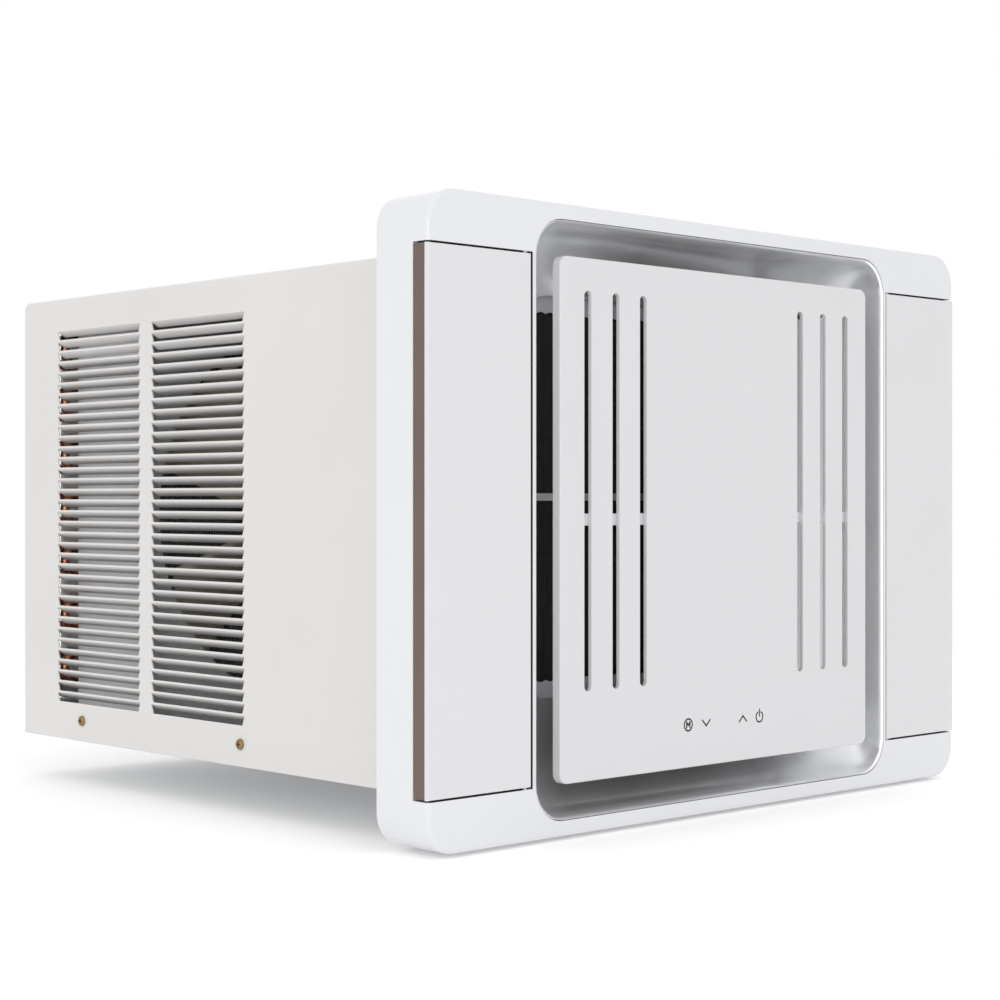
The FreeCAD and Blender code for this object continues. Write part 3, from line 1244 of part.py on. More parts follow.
def compressor():
    """The compressor on its three-legged plate, its tank, grommets, studs and cap."""
    high = feet_z + compressor_tall
    thick = s.foot_thick
    vessel = round_can("vessel", compressor_x, compressor_y, s.compressor_radius,
                       feet_z + thick - 1, high, s.compressor_round)
    plate_parts = [rod("middle", (compressor_x, compressor_y, feet_z), "+Z", s.foot_middle,
                       thick)]
    holes = []
    for x, y in foot_places():
        plate_parts.append(rod("foot", (x, y, feet_z), "+Z", s.foot_radius, thick))
        holes.append(rod("foot_hole", (x, y, feet_z - 1), "+Z",
                         s.grommet_waist + s.running_gap, thick + 2))
    plate = cut("foot_plate", fuse("foot_plate_body", plate_parts), *holes)
    node("compressor", fuse("compressor_whole", [vessel, plate]))
    grommets, nuts = [], []
    for x, y in foot_places():
        grommet = fuse("grommet", [
            rod("below", (x, y, pan_floor), "+Z", s.grommet_wide, s.foot_lift),
            rod("waist", (x, y, pan_floor), "+Z", s.grommet_waist, s.foot_lift + 2 * thick),
            rod("above", (x, y, feet_z + thick), "+Z", s.grommet_cap, thick)])
        grommets.append(cut("ring", grommet, rod("bore", (x, y, 0), "+Z",
                                                 s.stud_radius + 2 * s.running_gap,
                                                 s.stud_tall)))
        stud = rod("stud", (x, y, pan_floor), "+Z", s.stud_radius, s.stud_tall)
        nut = doc.addObject("Part::Prism", "nut")
        bind(nut, Polygon=6, Circumradius=s.nut_radius, Height=s.nut_tall)
        place(nut, (x, y, feet_z + 2 * thick + s.sheet_gap))
        nuts.append(fuse("stud_and_nut", [stud, nut]))
    node("compressor_grommets", group("grommets", grommets))
    node("compressor_studs", group("studs", nuts))
    node("terminal_cover", round_can("cap", compressor_x, compressor_y, s.cap_radius,
                                     high + s.sheet_gap, high + s.cap_tall, s.cap_round))
    tank = round_can("tank", tank_x, compressor_y, s.tank_radius, s.tank_foot,
                     s.tank_foot + s.tank_tall, s.tank_round)
    level = s.tank_foot + s.strap_lift
    strap = box("strap", (tank_x, compressor_y - s.strap_wide / 2, level),
                (s.tank_radius + s.tank_gap + s.strap_wide, s.strap_wide, s.strap_tall))
    trim = rod("trim", (compressor_x, compressor_y, level - 1), "+Z",
               s.compressor_radius + s.sheet_gap, s.strap_tall + 2)
    node("accumulator", fuse("accumulator_whole", [tank, cut("strap_cut", strap, trim)]))


def pipe(label, points, radius):
    """A tube along straight runs joined by tangent bends."""
    spots = [Vector(*[float(value) for value in point]) for point in points]
    edges = []
    start = spots[0]
    for before, corner, after in zip(spots, spots[1:], spots[2:]):
        reach = float(s.line_bend)
        first = corner + (before - corner).normalize() * reach
        last = corner + (after - corner).normalize() * reach
        inward = ((first + last) * 0.5 - corner).normalize()
        middle = corner + inward * reach * (math.sqrt(2) - 1)
        edges.append(Part.LineSegment(start, first).toShape())
        edges.append(Part.Arc(first, middle, last).toShape())
        start = last
    edges.append(Part.LineSegment(start, spots[-1]).toShape())
    ahead = (spots[1] - spots[0]).normalize()
    ring = Part.Wire(Part.Circle(spots[0], ahead, float(radius)).toShape())
    tube = Part.Wire(edges).makePipeShell([ring], True, True)
    return shape_node(label, tube)


def refrigerant_lines():
    """Copper lines between compressor, tank and the two coils."""
    cold_front, cold_back = coil_rows(evaporator_y, s.evaporator_deep)
    hot_front, hot_back = coil_rows(condenser_y, s.condenser_deep)
    cold_end = evaporator_wide / 2 + s.plate_thick + s.tube_reach
    hot_end = condenser_wide / 2 + s.plate_thick + s.tube_reach
    cold_top = tube_z(tube_count(evaporator_tall) - 1)
    hot_top = tube_z(tube_count(condenser_tall) - 1)
    riser = cold_end + s.riser_gap
    pipe("suction_line", [(suction_x, compressor_y, s.tank_foot + s.tank_tall), (suction_x, compressor_y,
         line_z), (suction_x, cold_front, line_z), (riser, cold_front, line_z),
         (riser, cold_front, cold_top), (cold_end, cold_front, cold_top)], s.line_radius)
    pipe("liquid_line", [(hot_end, hot_back, hot_top), (liquid_x, hot_back, hot_top),
         (liquid_x, hot_back, line_z), (liquid_x, cold_back, line_z), (riser, cold_back, line_z),
         (riser, cold_back, cold_top), (cold_end, cold_back, cold_top)], s.line_radius)
    discharge_x = compressor_x + s.discharge_reach
    low = feet_z + compressor_tall
    high = low + s.discharge_rise
    pipe("discharge_line", [(discharge_x, compressor_y, low), (discharge_x, compressor_y, high),
         (liquid_x, compressor_y, high), (liquid_x, compressor_y, hot_top),
         (liquid_x, hot_front, hot_top), (hot_end, hot_front, hot_top)], s.line_radius)


def control_box():
    """The steel box of the controls, hung on the bulkhead, and the board in it."""
    start = bulkhead_y + s.bulkhead_thick + s.sheet_gap
    wide, tall, deep, wall = s.control_wide, s.control_tall, s.control_deep, s.control_wall
    low_x = control_x
    low_z = s.cabinet_tall - s.sheet_wall - s.control_head - tall
    outer = box("box", (low_x, start, low_z), (wide, deep, tall))
    room = box("box_room", (low_x + wall, start + wall, low_z + wall),
               (wide - 2 * wall, deep - 2 * wall, tall - 2 * wall))
    node("control_box", cut("box_shell", outer, room))
    seat, end = wall + s.sheet_gap, s.control_board_end
    board = box("board", (low_x + seat, start + end, low_z + s.control_board_lift),
                (wide - 2 * seat, deep - 2 * end, s.board_thick))
    face = low_z + s.control_board_lift + s.board_thick
    chips = [rod("capacitor", (low_x + wide / 2 + s.capacitor_pitch * (step - 1), start + 35,
                               face), "+Z", s.capacitor_radius, s.capacitor_tall)
             for step in range(3)]
    sink_block = box("heat_sink", (low_x + (wide - s.sink_wide) / 2, start + deep / 2, face),
                     (s.sink_wide, s.sink_deep, s.sink_tall))
    node("control_board", fuse("board_whole", [board, sink_block] + chips))


# ---------------------------------------------------------------- making the files


def build():
    """Make every sub-part."""
    cabinet_shell()
    cabinet_screws()
    base_pan()
    drain_spout()
    rear_guard()
    front_frame()
    frame_back()
    cord_grommet()
    recess_bowl()
    front_panel()
    display_parts()
    filter_parts()
    for side, name in ((-1, "left"), (1, "right")):
        outlet_door(side, name)
        door_trim(side, name)
        vane_carrier(side, name)
        for index in range(int(float(s.vane_count))):
            outlet_vane(side, name, index)
        vane_link(side, name)
    outlet_motors()
    evaporator()
    air_duct()
    duct_cover()
    blower_wheel()
    bulkhead()
    fan_motor()
    motor_shaft()
    condenser_fan()
    fan_shroud()
    condenser()
    compressor()
    refrigerant_lines()
    control_box()


def write():
    """Check every object and write one file for each node."""
    doc.recompute()
    for thing in doc.Objects:
        if "Invalid" in thing.State or "Error" in thing.State:
            raise RuntimeError(f"{thing.Name} ({thing.Label}) failed: {thing.State}")
    os.makedirs("parts", exist_ok=True)
    for thing in NODES:
        shape = thing.Shape
        if shape.isNull() or not shape.isValid():
            raise RuntimeError(f"{thing.Label} has no valid shape")
        shape.exportStep(os.path.join("parts", f"{thing.Label}.step"))
        print(f"{thing.Label}: {len(shape.Solids)} solids, {shape.Volume / 1000:.1f} cm3")


build()
write()
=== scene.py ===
"""Window air conditioner: the looks of every piece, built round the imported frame.

All places are in metres in the frame of the CAD parts: X to the right seen from the
front, Y from front to back, Z up, with the origin under the middle of the base pan.
"""
import json
import logging
import math
from dataclasses import dataclass
from enum import Enum
from typing import Callable, Sequence

import bmesh
import bpy
from mathutils import Color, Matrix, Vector

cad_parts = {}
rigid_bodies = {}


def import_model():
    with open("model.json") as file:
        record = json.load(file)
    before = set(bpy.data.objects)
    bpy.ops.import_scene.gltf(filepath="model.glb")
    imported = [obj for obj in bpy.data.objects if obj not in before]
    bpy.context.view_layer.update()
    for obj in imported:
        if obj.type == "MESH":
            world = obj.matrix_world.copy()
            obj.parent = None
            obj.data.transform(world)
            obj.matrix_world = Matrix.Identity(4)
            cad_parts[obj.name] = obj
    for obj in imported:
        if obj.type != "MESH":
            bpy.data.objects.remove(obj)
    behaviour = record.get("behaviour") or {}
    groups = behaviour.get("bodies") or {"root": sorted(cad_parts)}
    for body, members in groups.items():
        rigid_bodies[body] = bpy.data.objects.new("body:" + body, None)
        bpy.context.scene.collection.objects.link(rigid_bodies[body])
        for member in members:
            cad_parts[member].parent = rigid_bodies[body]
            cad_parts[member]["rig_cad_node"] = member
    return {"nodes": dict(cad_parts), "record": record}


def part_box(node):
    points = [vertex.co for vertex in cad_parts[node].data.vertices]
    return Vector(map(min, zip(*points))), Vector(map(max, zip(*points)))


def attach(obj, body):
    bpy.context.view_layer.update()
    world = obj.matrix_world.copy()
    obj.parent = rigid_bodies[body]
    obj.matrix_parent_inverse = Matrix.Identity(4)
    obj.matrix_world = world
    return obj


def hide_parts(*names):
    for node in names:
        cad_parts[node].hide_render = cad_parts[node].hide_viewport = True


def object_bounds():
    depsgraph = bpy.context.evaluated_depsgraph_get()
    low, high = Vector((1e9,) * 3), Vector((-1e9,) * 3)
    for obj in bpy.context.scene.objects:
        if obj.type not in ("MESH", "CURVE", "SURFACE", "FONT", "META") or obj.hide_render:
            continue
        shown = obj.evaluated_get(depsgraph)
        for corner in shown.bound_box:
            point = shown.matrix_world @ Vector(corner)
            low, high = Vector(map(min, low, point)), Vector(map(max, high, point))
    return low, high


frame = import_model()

log = logging.getLogger("window_air_conditioner")
CAD_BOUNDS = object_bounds()
MM = 0.001
PANEL_DEEP = 7 * MM

HAIR = 0.01 * MM
SLACK = 0.1 * MM

Colour = tuple[float, float, float]
Place = tuple[float, float, float]
Spread = tuple[float, float]
Socket = bpy.types.NodeSocket

WHITE: Colour = (1.0, 1.0, 1.0)


# ------------------------------------------------------------------ shader maths


class Value:
    """A node socket that takes part in arithmetic and adds its Math nodes."""

    def __init__(self, shader: "Shader", socket: Socket) -> None:
        """Wrap a socket of a shader."""
        self.shader = shader
        self.socket = socket

    def _math(self, operation: str, first: "Value | float", second: "Value | float") -> "Value":
        """Add a Math node and return its result."""
        node = self.shader.node("ShaderNodeMath", {"operation": operation}, {0: first, 1: second})
        return Value(self.shader, node.outputs[0])

    def __add__(self, other: "Value | float") -> "Value":
        """This plus another."""
        return self._math("ADD", self, other)

    def __radd__(self, other: float) -> "Value":
        """Another plus this."""
        return self._math("ADD", other, self)

    def __sub__(self, other: "Value | float") -> "Value":
        """This less another."""
        return self._math("SUBTRACT", self, other)

    def __rsub__(self, other: float) -> "Value":
        """Another less this."""
        return self._math("SUBTRACT", other, self)

    def __mul__(self, other: "Value | float") -> "Value":
        """This times another."""
        return self._math("MULTIPLY", self, other)

    def __rmul__(self, other: float) -> "Value":
        """Another times this."""
        return self._math("MULTIPLY", other, self)

    def __truediv__(self, other: "Value | float") -> "Value":
        """This over another."""
        return self._math("DIVIDE", self, other)

    def spread(self, span: "Spread") -> "Value":
        """This times the first of a pair, plus the second."""
        return self * span[0] + span[1]

    def above(self, level: float) -> "Value":
        """One where this is above a level, and nought elsewhere."""
        return self._math("GREATER_THAN", self, level)

    def size(self) -> "Value":
        """This without its sign."""
        return self._math("ABSOLUTE", self, 0.0)

    def held(self) -> "Value":
        """This kept between nought and one."""
        return self._math("MINIMUM", self._math("MAXIMUM", self, 0.0), 1.0)

    def wave(self, pitch: float) -> "Value":
        """A cosine between nought and one that repeats at a pitch."""
        turned = self._math("COSINE", self * (2 * math.pi / pitch), 0.0)
        return turned.spread((0.5, 0.5))


class Shader:
    """A material under construction."""

    def __init__(self, name: str) -> None:
        """Start a material with its principled shader."""
        self.material = bpy.data.materials.new(name)
        self.material.use_nodes = True
        self.tree = self.material.node_tree
        self.principled = self.tree.nodes["Principled BSDF"]

    def node(self, kind: str, settings: dict, inputs: dict) -> bpy.types.Node:
        """Add a node, set it up and feed its sockets.

        Args:
            kind: The node's type.
            settings: Values of the node's own properties.
            inputs: Sockets by name or number, with their values or links.

        Returns:
            The node.
        """
        made = self.tree.nodes.new(kind)
        for name, amount in settings.items():
            if name == "ramp":
                self._fill_ramp(made.color_ramp, amount)
            else:
                setattr(made, name, amount)
        for name, amount in inputs.items():
            self.feed(made.inputs[name], amount)
        return made

    @staticmethod
    def _fill_ramp(ramp: bpy.types.ColorRamp, stops: Sequence[tuple[float, Colour]]) -> None:
        """Set the stops of a colour ramp."""
        while len(ramp.elements) < len(stops):
            ramp.elements.new(1.0)
        for element, (place, colour) in zip(ramp.elements, stops):
            element.position = place
            element.color = (*colour, 1.0)

    def feed(self, socket: Socket, amount: object) -> None:
        """Link a value to a socket, or set it there."""
        if isinstance(amount, Value):
            self.tree.links.new(amount.socket, socket)
        elif isinstance(amount, Socket):
            self.tree.links.new(amount, socket)
        else:
            socket.default_value = amount

    def axis(self, letter: str) -> Value:
        """One coordinate of the piece, in metres."""
        where = self.node("ShaderNodeTexCoord", {}, {})
        split = self.node("ShaderNodeSeparateXYZ", {}, {0: where.outputs["Object"]})
        return Value(self, split.outputs[letter])

    def stretched(self, scale: Place) -> Socket:
        """The piece's coordinates times a scale for each axis."""
        where = self.node("ShaderNodeTexCoord", {}, {})
        sized = self.node("ShaderNodeMapping", {}, {"Vector": where.outputs["Object"],
                                                    "Scale": scale})
        return sized.outputs[0]

    def noise(self, size: float, detail: float = 2.0, stretch: Place = (1, 1, 1)) -> Value:
        """Noise from nought to one with features of a size in metres."""
        made = self.node("ShaderNodeTexNoise", {},
                         {"Vector": self.stretched(stretch), "Scale": 1 / size,
                          "Detail": detail})
        return Value(self, made.outputs["Fac"])

    def cells(self, size: float, output: str = "Distance") -> Value:
        """Voronoi cells of a size in metres."""
        made = self.node("ShaderNodeTexVoronoi", {},
                         {"Vector": self.stretched((1, 1, 1)), "Scale": 1 / size})
        return Value(self, made.outputs[output])

    def blend(self, share: Value, low: Colour, high: Colour) -> Socket:
        """A colour between two by a share."""
        mixed = self.node("ShaderNodeMix", {"data_type": "RGBA"}, {"Factor": share})
        colours = [socket for socket in mixed.inputs if socket.type == "RGBA"]
        colours[0].default_value = (*low, 1.0)
        colours[1].default_value = (*high, 1.0)
        return next(socket for socket in mixed.outputs if socket.type == "RGBA")

    def shade(self, share: Value, colour: Colour, times: Spread) -> Socket:
        """A colour between two lightnesses of itself by a share."""
        return self.blend(share, lighter(colour, times[0]), lighter(colour, times[1]))

    def surface(self, **amounts: object) -> None:
        """Set sockets of the principled shader by name, with _ for a space."""
        for name, amount in amounts.items():
            self.feed(self.principled.inputs[name.replace("_", " ")], amount)

    def bump(self, height: Value, strength: float, depth: float) -> None:
        """Press a height into the surface's normal."""
        made = self.node("ShaderNodeBump", {}, {"Height": height, "Strength": strength,
                                                "Distance": depth})
        self.feed(self.principled.inputs["Normal"], made.outputs[0])


def tint(red: int, green: int, blue: int) -> Colour:
    """A colour in linear light from its display values, which run to 255."""
    shown = Color([channel / 255 for channel in (red, green, blue)])
    return tuple(shown.from_srgb_to_scene_linear())


def lighter(colour: Colour, times: float) -> Colour:
    """A colour scaled in linear light and kept under one."""
    return tuple(min(1.0, channel * times) for channel in colour)


def worn(base: float, gloss: Spread, first: Value, second: Value) -> Value:
    """A roughness that two patterns raise from its base."""
    return first * gloss[0] + second * gloss[1] + base


def worn_round(middle: float, gloss: Spread, first: Value, second: Value) -> Value:
    """A roughness that two patterns spread evenly round its middle."""
    return worn(middle - sum(gloss) / 2, gloss, first, second)


# ------------------------------------------------------------------ finishes


@dataclass(frozen=True)
class Look:
    """What every finish has: its name, its main colour and a way to its material."""

    name: str
    colour: Colour

    def paint(self, shader: Shader) -> None:
        """Set the material up."""
        raise NotImplementedError

    def make(self) -> bpy.types.Material:
        """Build the material."""
        shader = Shader(self.name)
        self.paint(shader)
        return shader.material


@dataclass(frozen=True)
class Moulding(Look):
    """Injection-moulded plastic: even colour, soft gloss and a faint ripple."""

    roughness: float
    coat: float = 0.0
    ripple: float = 0.05
    ripple_size: float = 2.5 * MM
    ripple_deep: float = 0.1 * MM
    ripple_detail: float = 2
    cloud: Spread = (90 * MM, 3)
    shades: Spread = (0.975, 1.02)
    gloss: Spread = (0.06, 0.04)
    coat_roughness: float = 0.06

    def paint(self, shader: Shader) -> None:
        """Set the material up."""
        cloud = shader.noise(*self.cloud)
        grain = shader.noise(self.ripple_size, self.ripple_detail)
        shader.surface(Base_Color=shader.shade(cloud, self.colour, self.shades),
                       Roughness=worn_round(self.roughness, self.gloss, cloud, grain),
                       Coat_Weight=self.coat, Coat_Roughness=self.coat_roughness)
        shader.bump(grain, self.ripple, self.ripple_deep)


@dataclass(frozen=True)
class PowderCoat(Look):
    """Powder-coated steel sheet with a fine orange-peel skin, and painted shade on the louvres
    that lean in behind a given wall.
    """

    roughness: float = 0.34
    wall: float = 0.0
    # The low lightness, both of the random tone and of the painted shade on the louvres.
    dust: float = 0.4
    dust_start: float = 0.8 * MM
    dust_fade: float = 3.2 * MM
    dust_end: float = 6.6 * MM
    dust_top: float = 0.3
    dust_cloud: Spread = (0.3, 0.85)
    cloud: Spread = (120 * MM, 4)
    peel: Spread = (1.6 * MM, 3)
    share: Spread = (0.12, 0.88)
    light: float = 1.03
    gloss: Spread = (0.1, 0.08)
    coat: float = 0.25
    coat_roughness: float = 0.12
    relief: Spread = (0.12, 0.12 * MM)

    def dusted(self, shader: Shader, cloud: Value) -> Value:
        """How much painted shade darkens a side's louvres, which lean in behind its outer face,
        below a height.
        """
        depth = (self.wall - self.dust_start) - shader.axis("X").size()
        inside = (depth / self.dust_fade).held() * (self.dust_end - depth).above(0)
        low = (self.dust_top - shader.axis("Z")).above(0)
        return inside * low * cloud.spread(self.dust_cloud)

    def paint(self, shader: Shader) -> None:
        """Set the material up."""
        cloud = shader.noise(*self.cloud)
        peel = shader.noise(*self.peel)
        share = cloud.spread(self.share)
        # On a side wall, the louvres that lean in get painted shade, which is taken off the share
        # of the lighter colour.
        if self.wall:
            share = share - self.dusted(shader, cloud)
        shader.surface(Base_Color=shader.shade(share.held(), self.colour,
                                               (self.dust, self.light)),
                       Roughness=worn_round(self.roughness, self.gloss, cloud, peel),
                       Coat_Weight=self.coat, Coat_Roughness=self.coat_roughness)
        shader.bump(peel, *self.relief)


@dataclass(frozen=True)
class SilverLacquer(Look):
    """Silver lacquer over a smooth moulding, with painted shade that greys it deep in the middle
    of its walls.
    """

    roughness: float = 0.3
    metallic: float = 0.55
    cloud: Spread = (60 * MM, 3)
    flake: float = 0.35 * MM
    share: Spread = (0.2, 0.8)
    shades: Spread = (0.3, 1.12)
    gloss: Spread = (0.08, 0.1)
    gloss_middle: float = 0.08
    coat: float = 0.5
    coat_roughness: float = 0.08
    relief: Spread = (0.03, 0.05 * MM)
    shade_middle: float = 176 * MM
    shade_lean: float = 0.22
    shade_half: float = 165 * MM
    shade_fade: float = 65 * MM
    shade_front: float = -287 * MM
    shade_deep: float = 10 * MM
    shade: float = 0.66
    shade_fall: float = 0.9

    def shaded(self, shader: Shader) -> Value:
        """How much painted shade greys the walls, by place."""
        rise = shader.axis("Z") - self.shade_middle
        place = shader.axis("X") - rise * self.shade_lean
        middle = ((self.shade_half - place.size()) / self.shade_fade).held()
        deep = ((shader.axis("Y") - self.shade_front) / self.shade_deep).held()
        return middle * deep * (self.shade - rise * self.shade_fall)

    def paint(self, shader: Shader) -> None:
        """Set the material up."""
        cloud = shader.noise(*self.cloud)
        flake = shader.cells(self.flake)
        # Painted shade is taken off the lighter share deep in the middle of the walls.
        share = cloud.spread(self.share) - self.shaded(shader)
        shader.surface(Base_Color=shader.shade(share.held(), self.colour, self.shades),
                       Metallic=self.metallic,
                       Roughness=worn(self.roughness - self.gloss_middle, self.gloss,
                                      cloud, flake),
                       Coat_Weight=self.coat, Coat_Roughness=self.coat_roughness)
        shader.bump(flake, *self.relief)


@dataclass(frozen=True)
class DrawnMetal(Look):
    """Metal with a fine grain drawn along one axis."""

    roughness: float
    grain: Place = (1, 1, 0.02)
    line: Spread = (0.5 * MM, 3)
    cloud: Spread = (40 * MM, 3)
    shades: Spread = (0.8, 1.2)
    gloss: Spread = (0.16, 0.1)
    gloss_middle: float = 0.12
    relief: Spread = (0.12, 0.05 * MM)

    def paint(self, shader: Shader) -> None:
        """Set the material up."""
        lines = shader.noise(*self.line, self.grain)
        cloud = shader.noise(*self.cloud)
        shader.surface(Base_Color=shader.shade(lines * 0.5 + cloud * 0.5, self.colour,
                                               self.shades),
                       Metallic=1.0,
                       Roughness=worn(self.roughness - self.gloss_middle, self.gloss,
                                      lines, cloud))
        shader.bump(lines, *self.relief)


@dataclass(frozen=True)
class Galvanised(Look):
    """Zinc-coated sheet with its spangle."""

    spangle: float = 9 * MM
    fine: Spread = (3 * MM, 4)
    mix: Spread = (0.7, 0.3)
    shades: Spread = (0.8, 1.15)
    metallic: float = 0.9
    gloss: Spread = (0.2, 0.12)
    roughness: float = 0.24
    relief: Spread = (0.08, 0.1 * MM)

    def paint(self, shader: Shader) -> None:
        """Set the material up."""
        spangle = shader.cells(self.spangle, "Color")
        fine = shader.noise(*self.fine)
        share = spangle * self.mix[0] + fine * self.mix[1]
        shader.surface(Base_Color=shader.shade(share, self.colour, self.shades),
                       Metallic=self.metallic,
                       Roughness=worn(self.roughness, self.gloss, spangle, fine))
        shader.bump(fine, *self.relief)


@dataclass(frozen=True)
class FinPack(Look):
    """Pressed aluminium fins, seen edge on as fine upright lines; the dark gaps between the lines
    are painted shade.
    """

    pitch: float = 1.7 * MM
    dust: Spread = (25 * MM, 4)
    share: Spread = (0.25, 0.75)
    shades: Spread = (0.1, 1.1)
    metallic: float = 0.8
    gloss: Spread = (0.2, 0.35)
    relief: Spread = (0.7, 0.5 * MM)

    def paint(self, shader: Shader) -> None:
        """Set the material up."""
        fins = shader.axis("X").wave(self.pitch)
        dust = shader.noise(*self.dust)
        # The lines run from a tenth of the colour in the gaps, which is painted shade, to a
        # little over the colour on the fin edges.
        edge = fins * dust.spread(self.share)
        shader.surface(Base_Color=shader.shade(edge, self.colour, self.shades),
                       Metallic=self.metallic,
                       Roughness=dust.spread(self.gloss))
        shader.bump(fins, *self.relief)


@dataclass(frozen=True)
class Copper(Look):
    """Drawn copper tube with brown heat marks."""

    stain: Spread = (14 * MM, 5)
    fine: Spread = (2 * MM, 2)
    shades: Spread = (0.45, 1.2)
    gloss: Spread = (0.25, 0.1)
    roughness: float = 0.18
    relief: Spread = (0.05, 0.1 * MM)

    def paint(self, shader: Shader) -> None:
        """Set the material up."""
        stain = shader.noise(*self.stain)
        fine = shader.noise(*self.fine)
        shader.surface(Base_Color=shader.shade(stain, self.colour, self.shades),
                       Metallic=1.0,
                       Roughness=worn(self.roughness, self.gloss, stain, fine))
        shader.bump(fine, *self.relief)


@dataclass(frozen=True)
class Net(Look):
    """Fine square net: threads with open holes between them."""

    pitch: float = 1.4 * MM
    thread: float = 0.55
    shades: Spread = (0.5, 1.8)
    gloss: Spread = (0.1, 0.6)
    relief: Spread = (0.4, 0.2 * MM)

    def paint(self, shader: Shader) -> None:
        """Set the material up."""
        across = shader.axis("X").wave(self.pitch)
        up = shader.axis("Z").wave(self.pitch)
        shader.surface(Base_Color=shader.shade(across * up, self.colour, self.shades),
                       Roughness=across.spread(self.gloss),
                       Alpha=across.above(self.thread) + up.above(self.thread))
        shader.bump(across + up, *self.relief)


@dataclass(frozen=True)
class BeadFoam(Look):
    """Moulded bead foam with its cell pattern."""

    bead: float = 4 * MM
    shades: Spread = (1.05, 0.8)
    gloss: Spread = (0.2, 0.6)
    relief: Spread = (0.5, 0.5 * MM)

    def paint(self, shader: Shader) -> None:
        """Set the material up."""
        beads = shader.cells(self.bead)
        shader.surface(Base_Color=shader.shade(beads, self.colour, self.shades),
                       Roughness=beads.spread(self.gloss))
        shader.bump(1 - beads, *self.relief)


@dataclass(frozen=True)
class Circuit(Look):
    """A lacquered board with tracks."""

    pitches: Spread = (3.1 * MM, 4.7 * MM)
    track: float = 0.6
    grain: Spread = (5 * MM, 2)
    shades: Spread = (1.0, 1.7)
    gloss: Spread = (0.2, 0.3)
    relief: Spread = (0.2, 0.1 * MM)

    def paint(self, shader: Shader) -> None:
        """Set the material up."""
        tracks = shader.axis("X").wave(self.pitches[0]) * shader.axis("Y").wave(self.pitches[1])
        grain = shader.noise(*self.grain)
        shader.surface(Base_Color=shader.shade(tracks.above(self.track), self.colour,
                                               self.shades),
                       Roughness=grain.spread(self.gloss))
        shader.bump(tracks, *self.relief)


class Finish(Enum):
    """The object's finishes, by the record's material slot."""

    # The wall at 250 mm gives the cabinet's inward-leaning louvres their painted shade.
    cabinet_paint = PowderCoat("cabinet_paint", tint(211, 209, 207), 0.34, 250 * MM)
    screw_zinc = DrawnMetal("screw_zinc", tint(150, 130, 94), 0.32, (1, 1, 1))
    galvanised = Galvanised("galvanised", tint(196, 198, 200))
    black_plastic = Moulding("black_plastic", tint(22, 22, 24), 0.55)
    wire_paint = PowderCoat("wire_paint", tint(205, 204, 200))
    frame_plastic = Moulding("frame_plastic", tint(217, 218, 221), 0.22, 0.4)
    rubber = Moulding("rubber", tint(40, 40, 42), 0.75, 0.0, 0.4, 1 * MM)
    bowl_silver = SilverLacquer("bowl_silver", tint(240, 241, 243))
    panel_plastic = Moulding("panel_plastic", tint(209, 209, 211), 0.24, 0.4)
    door_plastic = Moulding("door_plastic", tint(211, 211, 213), 0.23, 0.4)
    trim_metal = DrawnMetal("trim_metal", tint(119, 107, 100), 0.36)
    grey_plastic = Moulding("grey_plastic", tint(150, 152, 155), 0.5)
    circuit_board = Circuit("circuit_board", tint(38, 96, 62))
    filter_plastic = Moulding("filter_plastic", tint(205, 206, 208), 0.5)
    filter_net = Net("filter_net", tint(40, 40, 42))
    motor_steel = DrawnMetal("motor_steel", tint(178, 180, 183), 0.4, (1, 0.05, 1))
    coil_fin = FinPack("coil_fin", tint(215, 217, 220))
    copper = Copper("copper", tint(214, 140, 104))
    duct_foam = BeadFoam("duct_foam", tint(236, 236, 232))
    fan_plastic = Moulding("fan_plastic", tint(238, 232, 208), 0.45)
    vane_plastic = Moulding("vane_plastic", tint(232, 232, 234), 0.4)
    shaft_steel = DrawnMetal("shaft_steel", tint(200, 200, 202), 0.25, (1, 0.02, 1))
    compressor_paint = PowderCoat("compressor_paint", tint(44, 44, 46), 0.4)


MATERIALS: dict[str, bpy.types.Material] = {}


def dress(piece: bpy.types.Object, finish: Finish) -> None:
    """Give a piece its one finish."""
    if finish.name not in MATERIALS:
        MATERIALS[finish.name] = finish.value.make()
    piece.data.materials.clear()
    piece.data.materials.append(MATERIALS[finish.name])
    "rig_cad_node" not in piece


def dress_cad_nodes() -> None:
    """Give every CAD node the finish of its slot in the record."""
    for row in frame["record"]["subparts"]:
        dress(frame["nodes"][row["node"]], Finish[row["material_slot"]])
    log.info("dressed %d CAD nodes", len(frame["nodes"]))


# ------------------------------------------------------------------ modelling


Test = Callable[[Vector], bool]
Ring = tuple[float, float, float, float]


